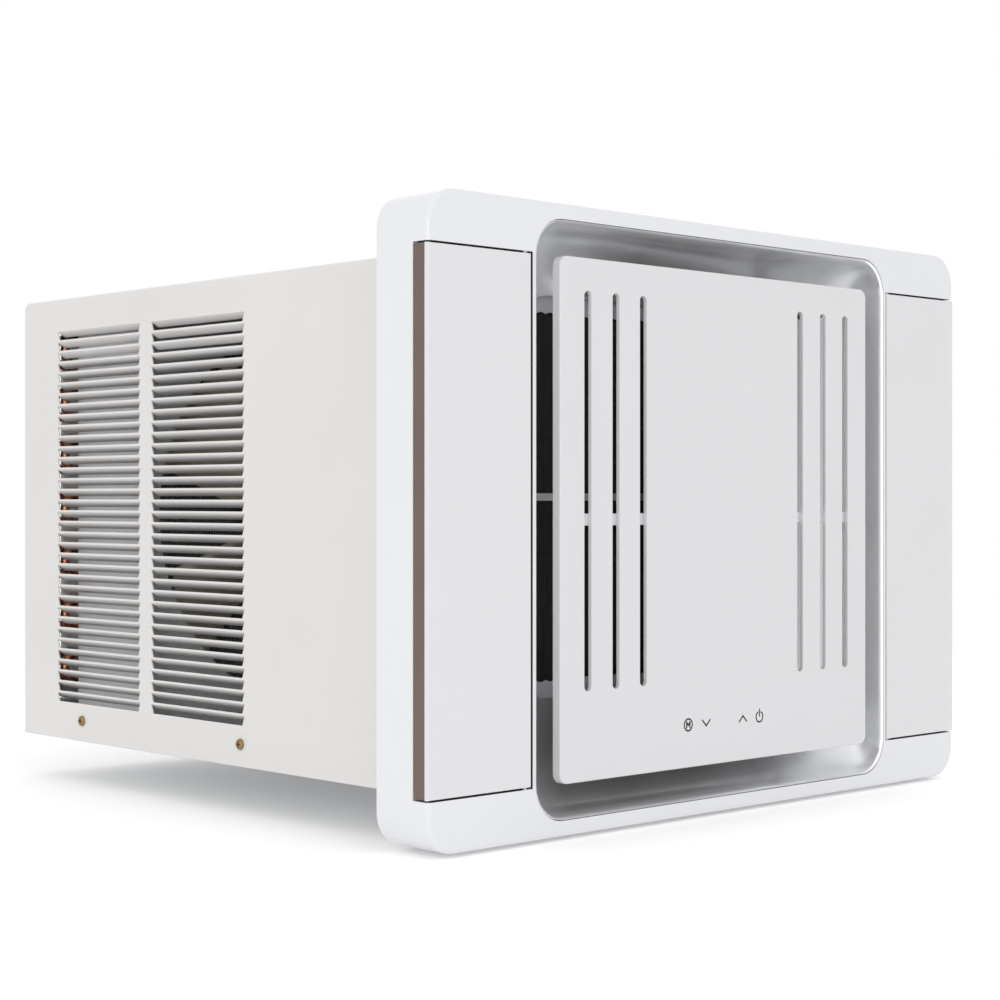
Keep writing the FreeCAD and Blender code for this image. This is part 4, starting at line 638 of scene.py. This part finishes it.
class Form:
    """A mesh piece shaped with the editing operators.

    It is shaped lying down, with X across, Y up the object and Z towards its front,
    and ``finish`` stands it up and files it with the object's pieces.
    """

    def __init__(self, name: str) -> None:
        """Take the object that an operator has just added.

        Args:
            name: The piece's name.
        """
        self.piece = bpy.context.object
        self.piece.name = name
        self.piece.data.name = name

    @classmethod
    def plate(cls, name: str, low: Place, high: Place, corner: float = 0.0,
              steps: int = 8) -> "Form":
        """A flat face between two corners at the height of the second.

        Args:
            name: The piece's name.
            low: Least X and Y.
            high: Greatest X and Y, and the height Z.
            corner: Radius of the corners, or nought for square ones.
            steps: Segments in a corner.

        Returns:
            The form, still in edit mode.
        """
        bpy.ops.mesh.primitive_plane_add(size=1)
        form = cls(name)
        form.edit("VERT")
        bpy.ops.mesh.select_all(action="SELECT")
        bpy.ops.transform.resize(value=(high[0] - low[0], high[1] - low[1], 1),
                                 center_override=(0, 0, 0))
        bpy.ops.transform.translate(value=((low[0] + high[0]) / 2, (low[1] + high[1]) / 2,
                                           high[2]))
        if corner:
            bpy.ops.mesh.bevel(offset=corner, segments=steps, affect="VERTICES")
        return form

    @classmethod
    def rod(cls, name: str, place: Place, radius: float, length: float,
            sides: int = 32) -> "Form":
        """A round bar from a place along +Z, in edit mode with nothing chosen."""
        bpy.ops.mesh.primitive_cylinder_add(vertices=sides, radius=radius, depth=length)
        form = cls(name)
        form.edit("FACE")
        bpy.ops.mesh.select_all(action="SELECT")
        bpy.ops.transform.translate(value=(place[0], place[1], place[2] + length / 2))
        bpy.ops.mesh.select_all(action="DESELECT")
        return form

    def edit(self, kind: str) -> None:
        """Enter edit mode with one kind of element and nothing chosen."""
        self.piece.select_set(True)
        bpy.context.view_layer.objects.active = self.piece
        bpy.ops.object.mode_set(mode="EDIT")
        bpy.ops.mesh.select_mode(type=kind)
        bpy.ops.mesh.select_all(action="DESELECT")

    def pick(self, kind: str, test: Test) -> None:
        """Choose the elements whose every corner passes a test.

        Args:
            kind: ``verts``, ``edges`` or ``faces``.
            test: What each corner's place has to meet.
        """
        mode = {"verts": "VERT", "edges": "EDGE", "faces": "FACE"}[kind]
        bpy.ops.mesh.select_mode(type=mode)
        bpy.ops.mesh.select_all(action="DESELECT")
        mesh = bmesh.from_edit_mesh(self.piece.data)
        for element in getattr(mesh, kind):
            corners = [element] if kind == "verts" else element.verts
            element.select_set(all(test(corner.co) for corner in corners))
        bmesh.update_edit_mesh(self.piece.data)

    def extrude(self, length: float) -> None:
        """Draw the chosen faces out along Z."""
        bpy.ops.mesh.extrude_region_move(TRANSFORM_OT_translate={"value": (0, 0, length)})

    def thicken(self, length: float) -> None:
        """Choose the whole piece and draw it out along Z."""
        bpy.ops.mesh.select_all(action="SELECT")
        self.extrude(length)

    def inset(self, margin: float) -> None:
        """Inset the chosen faces."""
        bpy.ops.mesh.inset(thickness=margin, use_even_offset=True)

    def bevel(self, width: float, steps: int = 3) -> None:
        """Round the chosen edges."""
        bpy.ops.mesh.bevel(offset=width, segments=steps, affect="EDGES")

    def draw_rings(self, rings: Sequence[Ring]) -> None:
        """Draw an outline through a row of rings, each a half width, foot, top and height."""
        bpy.ops.mesh.delete(type="ONLY_FACE")
        bpy.ops.mesh.select_mode(type="EDGE")
        bpy.ops.mesh.select_all(action="SELECT")
        half, foot, top, height = rings[0]
        for next_half, next_foot, next_top, next_height in rings[1:]:
            bpy.ops.mesh.extrude_edges_move(
                TRANSFORM_OT_translate={"value": (0, 0, next_height - height)})
            middle = (foot + top) / 2
            bpy.ops.transform.resize(
                value=(next_half / half, (next_top - next_foot) / (top - foot), 1),
                center_override=(0, middle, next_height))
            bpy.ops.transform.translate(value=(0, (next_foot + next_top) / 2 - middle, 0))
            half, foot, top, height = next_half, next_foot, next_top, next_height

    def leave(self) -> None:
        """Close the editing with normals outward."""
        bpy.ops.mesh.select_all(action="SELECT")
        bpy.ops.mesh.remove_doubles(threshold=HAIR)
        bpy.ops.mesh.normals_make_consistent(inside=False)
        bpy.ops.object.mode_set(mode="OBJECT")

    def cut(self, tools: Sequence["Form"]) -> None:
        """Cut tools out of the piece, and remove them."""
        for tool in tools:
            self.activate()
            bpy.ops.object.modifier_add(type="BOOLEAN")
            modifier = self.piece.modifiers[-1]
            modifier.operation = "DIFFERENCE"
            modifier.solver = "EXACT"
            modifier.object = tool.piece
            bpy.ops.object.modifier_apply(modifier=modifier.name)
            bpy.data.objects.remove(tool.piece)

    def join(self, others: Sequence["Form"]) -> None:
        """Take other forms into this piece."""
        self.activate()
        for other in others:
            other.piece.select_set(True)
        bpy.ops.object.join()

    def activate(self) -> None:
        """Make this the one chosen object."""
        bpy.ops.object.select_all(action="DESELECT")
        self.piece.select_set(True)
        bpy.context.view_layer.objects.active = self.piece

    def finish(self, body: str, look: "Finish", nodes: Sequence[str] = (),
               turn: Place = (math.pi / 2, 0, 0), angle: float = 35.0,
               flat_faces: bool = False) -> bpy.types.Object:
        """Stand the piece up, smooth it, dress it and hang it on its body.

        Args:
            body: The body that it moves with.
            look: Its finish.
            nodes: CAD nodes that it stands for.
            turn: How the shaped piece turns into its place.
            angle: Edges flatter than this, in degrees, are smoothed.
            flat_faces: Whether wide faces keep their own direction beside small roundings.

        Returns:
            The finished object.
        """
        self.activate()
        self.piece.rotation_euler = turn
        bpy.ops.object.transform_apply(location=True, rotation=True, scale=True)
        bpy.ops.object.shade_smooth_by_angle(angle=math.radians(angle))
        if flat_faces:
            weights = self.piece.modifiers.new("weights", "WEIGHTED_NORMAL")
            weights.keep_sharp = True
            bpy.ops.object.modifier_apply(modifier=weights.name)
        dress(self.piece, look)
        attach(self.piece, body)
        if nodes:
            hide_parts(*nodes)
        return self.piece


@dataclass
class Bounds:
    """A CAD node's box, read in the lying layout: X, Y up, and Z towards the front."""

    node: str

    def __post_init__(self) -> None:
        """Read the node's corners."""
        low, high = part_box(self.node)
        self.left, self.right = low[0], high[0]
        self.foot, self.top = low[2], high[2]
        self.front, self.back = -low[1], -high[1]


@dataclass
class RecessBowl:
    """The silver bowl from the frame's lip to the intake, with its four panel posts."""

    lip_round: float = 1.4 * MM
    lip_set_back: float = 0.3 * MM
    lip_ease: float = 0.3
    intake_margin: Spread = (6 * MM, 3 * MM)
    corner: float = 25 * MM
    steps: int = 16
    relief_half: float = 87 * MM
    relief_depths: Spread = (11 * MM, 36 * MM)
    relief_rise: float = 1.3 * MM
    relief_rim: float = 2.5 * MM
    sill: float = 32 * MM
    post_radius: float = 5 * MM
    post_inset: Spread = (40 * MM, 18 * MM)
    post_gap: float = 0.3 * MM
    post_wall: float = 1.6 * MM
    post_bore: float = 16 * MM
    post_round: float = 0.5 * MM
    flange: float = 2 * MM

    def rings(self, box: Bounds, net: Bounds) -> list[Ring]:
        """Rings from the lip through the quarter-round wall to the intake and its flange."""
        start = box.front - self.lip_set_back
        side, end = self.intake_margin
        inner = (net.right + side, net.foot - end, net.top + end)
        lip = (box.right - self.lip_round, box.foot + self.lip_round,
               box.top - self.lip_round)
        floor = box.back + self.flange
        wall_start = start - self.lip_round
        ease = self.lip_round * self.lip_ease
        rings = [(box.right, box.foot, box.top, start - self.lip_round / 2),
                 (box.right - ease, box.foot + ease, box.top - ease, start)]
        for step in range(self.steps + 1):
            angle = math.pi / 2 * step / self.steps
            share = 1 - math.cos(angle)
            sizes = [out + (aim - out) * share for out, aim in zip(lip, inner)]
            rings.append((*sizes, wall_start + (floor - wall_start) * math.sin(angle)))
        rings.append((*inner, box.back))
        rings.append((box.right, box.foot, box.top, box.back))
        rings.append(rings[0])
        return rings

    def relief(self, form: Form, box: Bounds) -> None:
        """Raise the shallow block in the middle of the upper wall."""
        for side in (-1, 1):
            bpy.ops.mesh.select_all(action="SELECT")
            bpy.ops.mesh.bisect(plane_co=(side * self.relief_half, 0, 0), plane_no=(1, 0, 0))
        near, far = (box.front - depth for depth in self.relief_depths)
        middle = (box.foot + box.top) / 2
        form.pick("faces", lambda spot: (abs(spot.x) < self.relief_half + SLACK
                                         and far < spot.z < near
                                         and middle < spot.y < box.top - self.lip_round))
        form.inset(self.relief_rim)
        bpy.ops.transform.translate(value=(0, -self.relief_rise, 0))

    def widen_sill(self, form: Form, box: Bounds, net: Bounds) -> None:
        """Bring the right edge of the intake inwards as a flat sill beside the net."""
        edge = net.right + self.intake_margin[0]
        floor = box.back + self.flange
        form.pick("verts", lambda spot: (self.relief_half + SLACK < spot.x < edge + SLACK
                                         and spot.z < floor + HAIR))
        bpy.ops.transform.translate(value=(-self.sill, 0, 0))

    def build(self) -> None:
        """Model the bowl in place of its CAD node."""
        box, net, panel = Bounds("recess_bowl"), Bounds("filter_mesh"), Bounds("front_panel")
        form = Form.plate("bowl", (box.left, box.foot, 0),
                          (box.right, box.top, box.front - self.lip_set_back
                           - self.lip_round / 2), self.corner)
        form.draw_rings(self.rings(box, net))
        self.relief(form, box)
        self.widen_sill(form, box, net)
        form.leave()
        posts = []
        for x in (panel.left + self.post_inset[0], panel.right - self.post_inset[0]):
            for y in (panel.foot + self.post_inset[1], panel.top - self.post_inset[1]):
                posts.append(self.post(x, y, box, panel))
        form.join(posts)
        form.finish("cabinet", Finish.bowl_silver, ("recess_bowl",))

    def post(self, x: float, y: float, box: Bounds, panel: Bounds) -> Form:
        """One post that holds the panel off the bowl, with a rounded mouth for its peg."""
        foot = box.back + self.flange
        head = panel.front - PANEL_DEEP - self.post_gap
        form = Form.rod("post", (x, y, foot), self.post_radius, head - foot)
        form.pick("faces", lambda spot: spot.z > head - SLACK)
        form.inset(self.post_radius - self.post_wall)
        form.extrude(-self.post_bore)
        form.pick("edges", lambda spot: spot.z > head - SLACK)
        form.bevel(self.post_round, 2)
        form.leave()
        return form


@dataclass
class FrontPanel:
    """The floating panel: a soft-edged plate with three slots a side and ribs behind them."""

    corner: float = 7 * MM
    edge_round: float = 1.2 * MM
    edge_steps: int = 4
    thick: float = 3 * MM
    rim: float = 2.5 * MM
    ink: float = 0.08 * MM
    slit_wide: float = 6.5 * MM
    slit_head: float = 21.7 * MM
    slit_foot: float = 59.7 * MM
    slit_pitch: float = 27 * MM
    slit_inset: float = 26 * MM
    slit_round: float = 0.5 * MM
    slit_count: int = 3
    slit_steps: int = 10
    slit_bow: float = 0.99
    rib_tall: float = 8 * MM
    rib_thick: float = 2.6 * MM
    rib_round: float = 0.4 * MM
    peg: Spread = (1.5 * MM, 14 * MM)
    peg_round: float = 0.4 * MM
    peg_inset: Spread = (40 * MM, 18 * MM)

    def slit_centres(self, box: Bounds) -> list[float]:
        """Where the slots' middles lie across the panel."""
        reach = [box.right - self.slit_inset - step * self.slit_pitch
                 for step in range(self.slit_count)]
        return [side * x for side in (-1, 1) for x in reach]

    def build(self) -> None:
        """Model the panel and its ribs in place of the CAD node."""
        box = Bounds("front_panel")
        front, back = box.front - self.ink, box.front - PANEL_DEEP
        form = Form.plate("panel", (box.left, box.foot, 0), (box.right, box.top, back),
                          self.corner)
        form.thicken(front - back)
        form.pick("edges", lambda spot: spot.z > front - HAIR)
        form.bevel(self.edge_round, self.edge_steps)
        form.pick("faces", lambda spot: spot.z < back + HAIR)
        form.inset(self.rim)
        form.extrude(PANEL_DEEP - self.thick)
        form.leave()
        foot, top = box.foot + self.slit_foot, box.top - self.slit_head
        centres = self.slit_centres(box)
        form.cut([self.slit_tool(x, foot, top, front) for x in centres])
        form.edit("EDGE")
        reach = self.slit_wide / 2 + SLACK
        form.pick("edges", lambda spot: (spot.z > front - HAIR
                                         and foot - reach < spot.y < top + reach
                                         and any(abs(spot.x - x) < reach
                                                 for x in centres)))
        form.bevel(self.slit_round, 2)
        form.leave()
        pegs = []
        tip = front - self.thick - self.peg[1]
        for x in (box.left + self.peg_inset[0], box.right - self.peg_inset[0]):
            for y in (box.foot + self.peg_inset[1], box.top - self.peg_inset[1]):
                peg = Form.rod("peg", (x, y, tip), *self.peg)
                peg.pick("edges", lambda spot: spot.z < tip + SLACK)
                peg.bevel(self.peg_round, 2)
                peg.leave()
                pegs.append(peg)
        form.join(pegs)
        form.finish("panel", Finish.panel_plastic, ("front_panel",), flat_faces=True)
        self.ribs(box, front)

    def slit_tool(self, x: float, foot: float, top: float, front: float) -> Form:
        """The cutter of one round-ended slot."""
        half = self.slit_wide / 2
        tool = Form.plate("slit", (x - half, foot, 0), (x + half, top, front + 1 * MM),
                          half * self.slit_bow, self.slit_steps)
        tool.thicken(-self.thick - 2 * MM)
        tool.leave()
        return tool

    def ribs(self, box: Bounds, front: float) -> None:
        """The grey bars that cross the slots behind the plate."""
        middle = (box.foot + box.top) / 2
        for side, name in ((-1, "left"), (1, "right")):
            reach = (self.slit_count - 0.5) * self.slit_pitch
            ends = sorted((side * (box.right - self.slit_inset / 2),
                           side * (box.right - self.slit_inset - reach)))
            level = front - self.thick
            form = Form.plate(f"panel_rib_{name}", (ends[0], middle - self.rib_tall / 2, 0),
                              (ends[1], middle + self.rib_tall / 2, level))
            form.thicken(-self.rib_thick)
            form.pick("edges", lambda spot: spot.z > level - HAIR)
            form.bevel(self.rib_round, 2)
            form.leave()
            form.finish("panel", Finish.filter_plastic)


@dataclass
class FilterComb:
    """Two grey toothed strips that hold the net's upper and lower edges."""

    tall: float = 8 * MM
    thick: float = 0.6 * MM
    tooth: float = 1.2 * MM
    count: int = 140
    side: float = 2 * MM
    set_back: float = 0.4 * MM

    def build(self) -> None:
        """Model the strips just in front of the net, in the intake's opening."""
        net, frame_box = Bounds("filter_mesh"), Bounds("filter_frame")
        half = net.right - self.side
        front = frame_box.front - self.set_back
        strips = []
        for edge, inward in ((net.foot, 1), (net.top, -1)):
            ends = sorted((edge, edge + inward * self.tall))
            strip = Form.plate("filter_comb", (-half, ends[0], 0), (half, ends[1], front))
            tip = edge + inward * self.tall
            strip.pick("edges", lambda spot: abs(spot.y - tip) < SLACK)
            bpy.ops.mesh.subdivide(number_cuts=self.count)
            pitch = 2 * half / (self.count + 1)
            strip.pick("verts", lambda spot: (abs(spot.y - tip) < SLACK
                                              and round((spot.x + half) / pitch) % 2 == 1))
            bpy.ops.transform.translate(value=(0, inward * self.tooth, 0))
            strip.thicken(-self.thick)
            strip.leave()
            strips.append(strip)
        strips[0].join(strips[1:])
        strips[0].finish("filter", Finish.filter_plastic)


# Each sign's strokes (two ends) and rings (middle, radius and half the gap at the top), in
# millimetres from the panel's middle line and the height of the row.
SIGNS: dict[str, tuple[list[Ring], list[Ring]]] = {
    "sign_mode": ([(-40.9, -2.0, -40.9, 2.0), (-40.9, 2.0, -39.2, -0.4),
                   (-39.2, -0.4, -37.5, 2.0), (-37.5, 2.0, -37.5, -2.0)],
                  [(-39.2, 0, 4.7, 0)]),
    "sign_lower": ([(-24.2, 2.0, -20.2, -2.0), (-20.2, -2.0, -16.2, 2.0)], []),
    "sign_raise": ([(15.6, -2.0, 19.6, 2.0), (19.6, 2.0, 23.6, -2.0)], []),
    "sign_power": ([(38, 0.6, 38, 5.2)], [(38, 0, 4.3, 1.7)]),
}


@dataclass
class TouchSigns:
    """The printed signs of the four touch keys."""

    height: float = 29.8 * MM
    stroke: float = 1.15 * MM
    rise: float = 0.07 * MM
    sunk: float = 0.1 * MM
    bow: float = 0.96
    end_steps: int = 4
    ring_sides: int = 64

    def bar(self, start: Spread, end: Spread, level: float) -> Form:
        """One round-ended stroke between two places."""
        across, up = end[0] - start[0], end[1] - start[1]
        half = self.stroke / 2
        form = Form.plate("stroke", (-half, -half, 0),
                          (math.hypot(across, up) + half, half, level), half * self.bow,
                          self.end_steps)
        bpy.ops.mesh.select_all(action="SELECT")
        bpy.ops.transform.rotate(value=-math.atan2(up, across), orient_axis="Z",
                                 center_override=(0, 0, level))
        bpy.ops.transform.translate(value=(start[0], start[1], 0))
        form.extrude(self.rise)
        form.leave()
        return form

    def ring(self, x: float, y: float, radius: float, level: float,
             gap_half: float = 0.0) -> Form:
        """A ring, open at its top by a half gap where one is given."""
        bpy.ops.mesh.primitive_circle_add(vertices=self.ring_sides, radius=radius,
                                          fill_type="NGON")
        form = Form("ring")
        form.edit("FACE")
        bpy.ops.mesh.select_all(action="SELECT")
        form.inset(self.stroke)
        bpy.ops.mesh.delete(type="FACE")
        if gap_half:
            form.pick("faces", lambda spot: spot.y > 0 and abs(spot.x) < gap_half)
            bpy.ops.mesh.delete(type="FACE")
        bpy.ops.mesh.select_all(action="SELECT")
        bpy.ops.transform.translate(value=(x, y, level))
        form.extrude(self.rise)
        form.leave()
        return form

    def build(self) -> None:
        """Model the four signs on the panel's face."""
        box = Bounds("front_panel")
        level = box.front - self.sunk
        y = box.foot + self.height
        for name, (bars, rings) in SIGNS.items():
            parts = [self.bar((ax * MM, y + ay * MM), (bx * MM, y + by * MM), level)
                     for ax, ay, bx, by in bars]
            parts += [self.ring(x * MM, y + up * MM, radius * MM, level, gap * MM)
                      for x, up, radius, gap in rings]
            parts[0].join(parts[1:])
            parts[0].piece.name = name
            parts[0].finish("panel", Finish.black_plastic)


@dataclass
class CabinetScrews:
    """Cross-headed pan screws low on the cabinet's sides."""

    head_deep: float = 2.4 * MM
    head_round: float = 1.3 * MM
    head_steps: int = 4
    slot_wide: float = 1.1 * MM
    slot_share: float = 0.62
    slot_deep: float = 1.4 * MM
    shank: float = 6 * MM

    def build(self) -> None:
        """Model the four screws in place of the CAD node."""
        low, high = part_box("cabinet_screws")
        radius = (high[2] - low[2]) / 2
        height = (high[2] + low[2]) / 2
        count = 0
        for side in (-1, 1):
            for y in (low[1] + radius, high[1] - radius):
                count += 1
                self.screw(f"cabinet_screw_{count}", side, y, height, radius, high[0])

    def screw(self, name: str, side: int, y: float, height: float, radius: float,
              reach: float) -> None:
        """One screw whose head faces out of a side.

        Args:
            name: The piece's name.
            side: -1 for the left side, 1 for the right.
            y: Its depth.
            height: Its height.
            radius: The head's radius.
            reach: How far out the head's top lies.
        """
        x = -side * height
        form = Form.rod(name, (x, y, reach - self.head_deep), radius, self.head_deep)
        form.pick("edges", lambda spot: spot.z > reach - HAIR)
        form.bevel(self.head_round, self.head_steps)
        form.leave()
        tools = []
        long, wide = radius * self.slot_share, self.slot_wide / 2
        for across, up in ((long, wide), (wide, long)):
            tool = Form.plate("slot", (x - across, y - up, 0),
                              (x + across, y + up, reach + 1 * MM))
            tool.thicken(-self.slot_deep - 1 * MM)
            tool.leave()
            tools.append(tool)
        form.cut(tools)
        shank = Form.rod("shank", (x, y, reach - self.head_deep - self.shank), radius / 2,
                         self.shank)
        shank.leave()
        form.join([shank])
        form.finish("cabinet", Finish.screw_zinc, ("cabinet_screws",),
                    (0, side * math.pi / 2, 0))


@dataclass
class NotchShadeLining:
    """Thin black strips in a door's notch: a dark sheet that puts painted shade into the gap
    round the door.
    """

    side: int
    name: str
    thick: float = 0.25 * MM
    gap: float = 1.5 * MM
    slot: float = 1.2 * MM
    front: float = 0.3 * MM
    back: float = 13.5 * MM
    hinge_room: float = 8 * MM
    trim_room: float = 4 * MM

    def build(self) -> None:
        """Model three flat strips on the notch's inner, upper and lower walls."""
        box = Bounds(f"{self.name}_door_trim")
        door = Bounds(f"{self.name}_door")
        inner = (door.left if self.side > 0 else -door.right) - self.gap
        outer = (box.right if self.side > 0 else -box.left) - self.trim_room
        start, end = door.front - self.front, door.front - self.back
        foot, top = box.foot - self.slot, box.top + self.slot
        spans = [(inner, inner + self.thick, foot, top),
                 (inner + self.hinge_room, outer, top - self.thick, top),
                 (inner + self.hinge_room, outer, foot, foot + self.thick)]
        strips = []
        for low_x, high_x, low_y, high_y in spans:
            ends = sorted((low_x * self.side, high_x * self.side))
            strip = Form.plate(f"{self.name}_notch_seal", (ends[0], low_y, 0),
                               (ends[1], high_y, start))
            strip.thicken(end - start)
            strip.leave()
            strips.append(strip)
        strips[0].join(strips[1:])
        # The black rubber finish here stands in for the shade in the gap round the door.
        strips[0].finish("cabinet", Finish.rubber)


# ------------------------------------------------------------------ stage


# Each light's name, place, width, height and power, in metres and watts.
LIGHTS: tuple[tuple[str, Place, Spread, float], ...] = (
    ("key_light", (-0.6, -2.2, 1.7), (1.6, 1.2), 3.0),
    ("side_light", (-2.4, 0.4, 1.2), (1.4, 1.4), 1.0),
    ("low_light", (-2.2, -1.6, 0.5), (0.8, 1.2), 9.0),
    ("back_light", (1.2, 2.2, 1.6), (1.5, 1.2), 1.0),
    ("top_light", (0, 0, 2.6), (2.0, 2.0), 2.0),
)


@dataclass
class Studio:
    """The floor, the lights and the camera."""

    lens: float = 73.584
    sensor: float = 36.0
    sight: float = 50.0
    eye: Place = (-1109.1 * MM, -1229.7 * MM, 191 * MM)
    heading: float = math.degrees(math.atan2(-0.687, 0.7266))
    horizon_shift: float = -0.003
    floor_radius: float = 1.6
    floor_sides: int = 96
    floor_gap: float = 0.5 * MM
    floor_cloud: Spread = (0.5, 2)
    floor_shades: Spread = (0.94, 0.96)
    floor_gloss: Spread = (0.1, 0.85)
    floor_glow: float = 0.15
    aim: Place = (0, 0, 0.17)

    def camera(self) -> None:
        """Stand the camera at eye level in front of the unit's left corner."""
        data = bpy.data.cameras.new("camera")
        data.sensor_width = self.sensor
        data.lens = self.lens
        data.shift_y = self.horizon_shift
        data.clip_end = self.sight
        holder = bpy.data.objects.new("camera", data)
        holder.location = self.eye
        holder.rotation_euler = (math.pi / 2, 0, math.radians(self.heading))
        bpy.context.scene.collection.objects.link(holder)
        bpy.context.scene.camera = holder

    def floor(self) -> None:
        """Lay the pale floor under the frame's foot."""
        low = CAD_BOUNDS[0][2]
        bpy.ops.mesh.primitive_circle_add(vertices=self.floor_sides,
                                          radius=self.floor_radius, fill_type="NGON",
                                          location=(0, 0, low - self.floor_gap))
        floor = bpy.context.object
        floor.name = "floor"
        shader = Shader("floor_white")
        cloud = shader.noise(*self.floor_cloud)
        reach = shader.axis("X") * shader.axis("X") + shader.axis("Y") * shader.axis("Y")
        shader.surface(Base_Color=shader.shade(cloud, WHITE, self.floor_shades),
                       Roughness=cloud.spread(self.floor_gloss),
                       Alpha=1 - reach / self.floor_radius ** 2,
                       Emission_Color=(*WHITE, 1), Emission_Strength=self.floor_glow)
        floor.data.materials.append(shader.material)

    def softbox(self, name: str, place: Place, size: Spread, power: float) -> None:
        """Hang one rectangular area light that looks at the object."""
        data = bpy.data.lights.new(name, "AREA")
        data.shape = "RECTANGLE"
        data.size, data.size_y = size
        data.energy = power
        holder = bpy.data.objects.new(name, data)
        holder.location = place
        ahead = Vector(self.aim) - Vector(place)
        holder.rotation_euler = ahead.to_track_quat("-Z", "Y").to_euler()
        bpy.context.scene.collection.objects.link(holder)

    def lights(self) -> None:
        """Hang the lights and set the pale surroundings."""
        world = bpy.data.worlds.new("surroundings")
        world.use_nodes = True
        background = world.node_tree.nodes["Background"]
        background.inputs["Color"].default_value = (*WHITE, 1)
        background.inputs["Strength"].default_value = 1.0
        bpy.context.scene.world = world
        for light in LIGHTS:
            self.softbox(*light)

    def build(self) -> None:
        """Set the whole stage."""
        self.camera()
        self.floor()
        self.lights()
        bpy.context.scene.view_settings.view_transform = "Standard"
        log.info("stage set")


def main() -> None:
    """Build and dress the whole object."""
    logging.basicConfig(level=logging.INFO, format="%(name)s: %(message)s")
    Studio().build()
    dress_cad_nodes()
    RecessBowl().build()
    FrontPanel().build()
    FilterComb().build()
    TouchSigns().build()
    CabinetScrews().build()
    for side, name in ((-1, "left"), (1, "right")):
        NotchShadeLining(side, name).build()


if __name__ == "__main__":
    main()
